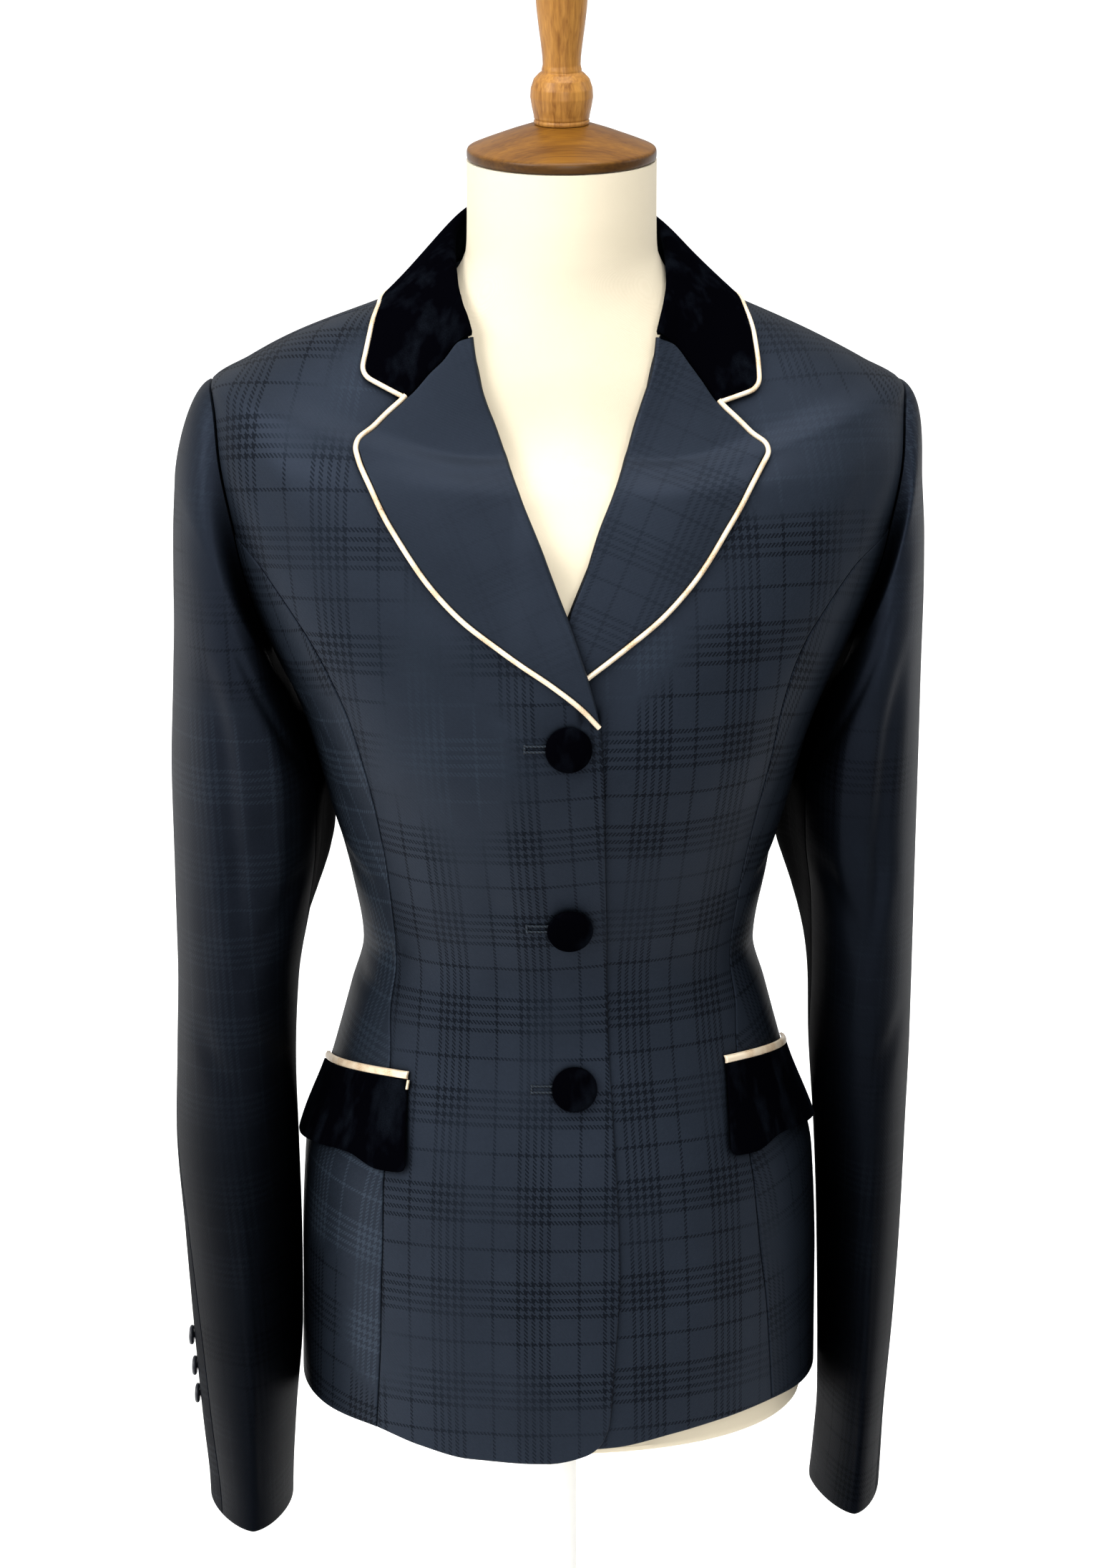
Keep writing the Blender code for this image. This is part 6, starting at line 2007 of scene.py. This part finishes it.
@dataclass
class Studio:
    """Plain pale floor, soft light and the camera at the photograph's angle."""

    azimuth: float = -4.0
    pitch: float = 16.8             # degrees that the camera looks down
    distance: float = 2.934
    camera_height: float = 1.477
    focal_px: float = 7394.0
    image_height: float = 2192.0
    sensor: float = 36.0
    middle_shift_px: float = 17.0   # how far the view's middle lies off the image's
    floor_radius: float = 40.0
    # How strongly the floor glows behind the form, as painted light
    floor_painted_glow: float = 0.35
    floor_lean: tuple = (-0.5, 1.0, 0.0)    # the way towards its brighter part
    floor_edge: tuple = (-0.8, 0.05)        # metres that way over which it turns bright
    lights: tuple = (
        # name     place              aim  size  power
        ("key", (-2.7, -2.1, 2.9), 0.6, 2.2, 130.0),
        ("fill", (3.2, 0.2, 1.8), 0.7, 1.5, 16.0),
        ("top", (0.2, -0.6, 3.1), 0.7, 1.8, 55.0),
        ("front", (0.3, -3.4, 1.5), 0.7, 1.5, 40.0),
    )
    world_mean: float = 0.56
    world_lean: tuple = (-0.34, 0.0, 0.46)    # where the light from all round is stronger

    def _floor(self) -> None:
        """A wide round floor."""
        made = new_look("studio_floor", "ffffff")
        # Behind the form the floor glows, painted light though no lamp is in it, and in front,
        # towards the viewer's right, it's a pale grey as painted shade, lit only by the lamps
        place = made.vector("DOT_PRODUCT", made.spot, self.floor_lean)
        pale = made.mix(made.fade(place, *self.floor_edge), "909090", "fdfdfd")
        painted_glow = made.fade(place, *self.floor_edge, 0.0, self.floor_painted_glow, soft=True)
        material = made.close(pale, 1.0, made.noise(400.0, 2.0), 0.02, Specular_IOR_Level=0.0,
                              Emission_Color=colour("ffffff"), Emission_Strength=painted_glow)
        steps = 96
        angle = 2 * np.pi * np.arange(steps) / steps
        ring = np.stack([np.cos(angle), np.sin(angle), 0 * angle], axis=1)
        mesh = bpy.data.meshes.new("floor")
        mesh.from_pydata((ring * self.floor_radius).tolist(), [], [list(range(steps))])
        mesh.materials.append(material)
        linked("floor", mesh)

    def _world(self) -> None:
        """Light from all round, stronger from the viewer's left and from above."""
        made = Look(bpy.data.worlds.new("studio"))
        lean = made.vector("DOT_PRODUCT", made.places["Generated"], self.world_lean)
        strength = made.math("ADD", lean, self.world_mean, use_clamp=True)
        sky = made.add("Background", {"Color": colour("ffffff"), "Strength": strength})
        made.add("OutputWorld", {"Surface": sky.outputs[0]})
        bpy.context.scene.world = made.owner

    def _light(self, name: str, place: tuple, aim_height: float, size: float,
               power: float) -> None:
        """Add one soft square light of so many metres and watts, aimed at the coat."""
        lamp = bpy.data.lights.new(name, "AREA")
        lamp.size, lamp.energy = size, power
        thing = linked(name, lamp)
        thing.location = place
        thing.rotation_euler = facing(Vector((0.0, 0.0, aim_height)) - Vector(place))

    def _camera(self) -> None:
        """Add the camera."""
        azimuth, pitch = math.radians(self.azimuth), math.radians(self.pitch)
        camera = bpy.data.cameras.new("camera")
        camera.sensor_fit, camera.sensor_width = "AUTO", self.sensor
        camera.lens = self.sensor * self.focal_px / self.image_height
        camera.shift_x = -self.middle_shift_px / self.image_height
        camera.clip_end = 200.0
        thing = linked("camera", camera)
        thing.location = (math.sin(azimuth) * self.distance, -math.cos(azimuth) * self.distance,
                          self.camera_height)
        thing.rotation_euler = facing(Vector((
            -math.sin(azimuth) * math.cos(pitch), math.cos(azimuth) * math.cos(pitch),
            -math.sin(pitch))))
        bpy.context.scene.camera = thing

    def build(self) -> None:
        """Build the floor, the lights and the camera."""
        self._floor()
        self._world()
        for light in self.lights:
            self._light(*light)
        self._camera()
        bpy.context.scene.view_settings.view_transform = "Standard"


def facing(way: Vector) -> object:
    """The rotation that points a camera or a lamp along a direction."""
    return way.to_track_quat("-Z", "Y").to_euler()


def main() -> None:
    """Build the dressed model."""
    logging.basicConfig(level=logging.INFO, format="%(message)s")
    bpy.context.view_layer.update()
    finishes = Finishes()
    sleeves = Sleeves(finishes)
    assemblies = [DressForm(finishes), CoatBody(finishes), Lapels(finishes), Collar(finishes),
                  sleeves, CuffButtons(finishes, sleeves), Pockets(finishes),
                  FrontButtons(finishes), Stand(finishes), Studio()]
    for assembly in assemblies:
        assembly.build()
        LOG.info("built %s", type(assembly).__name__)


if __name__ == "__main__":
    main()
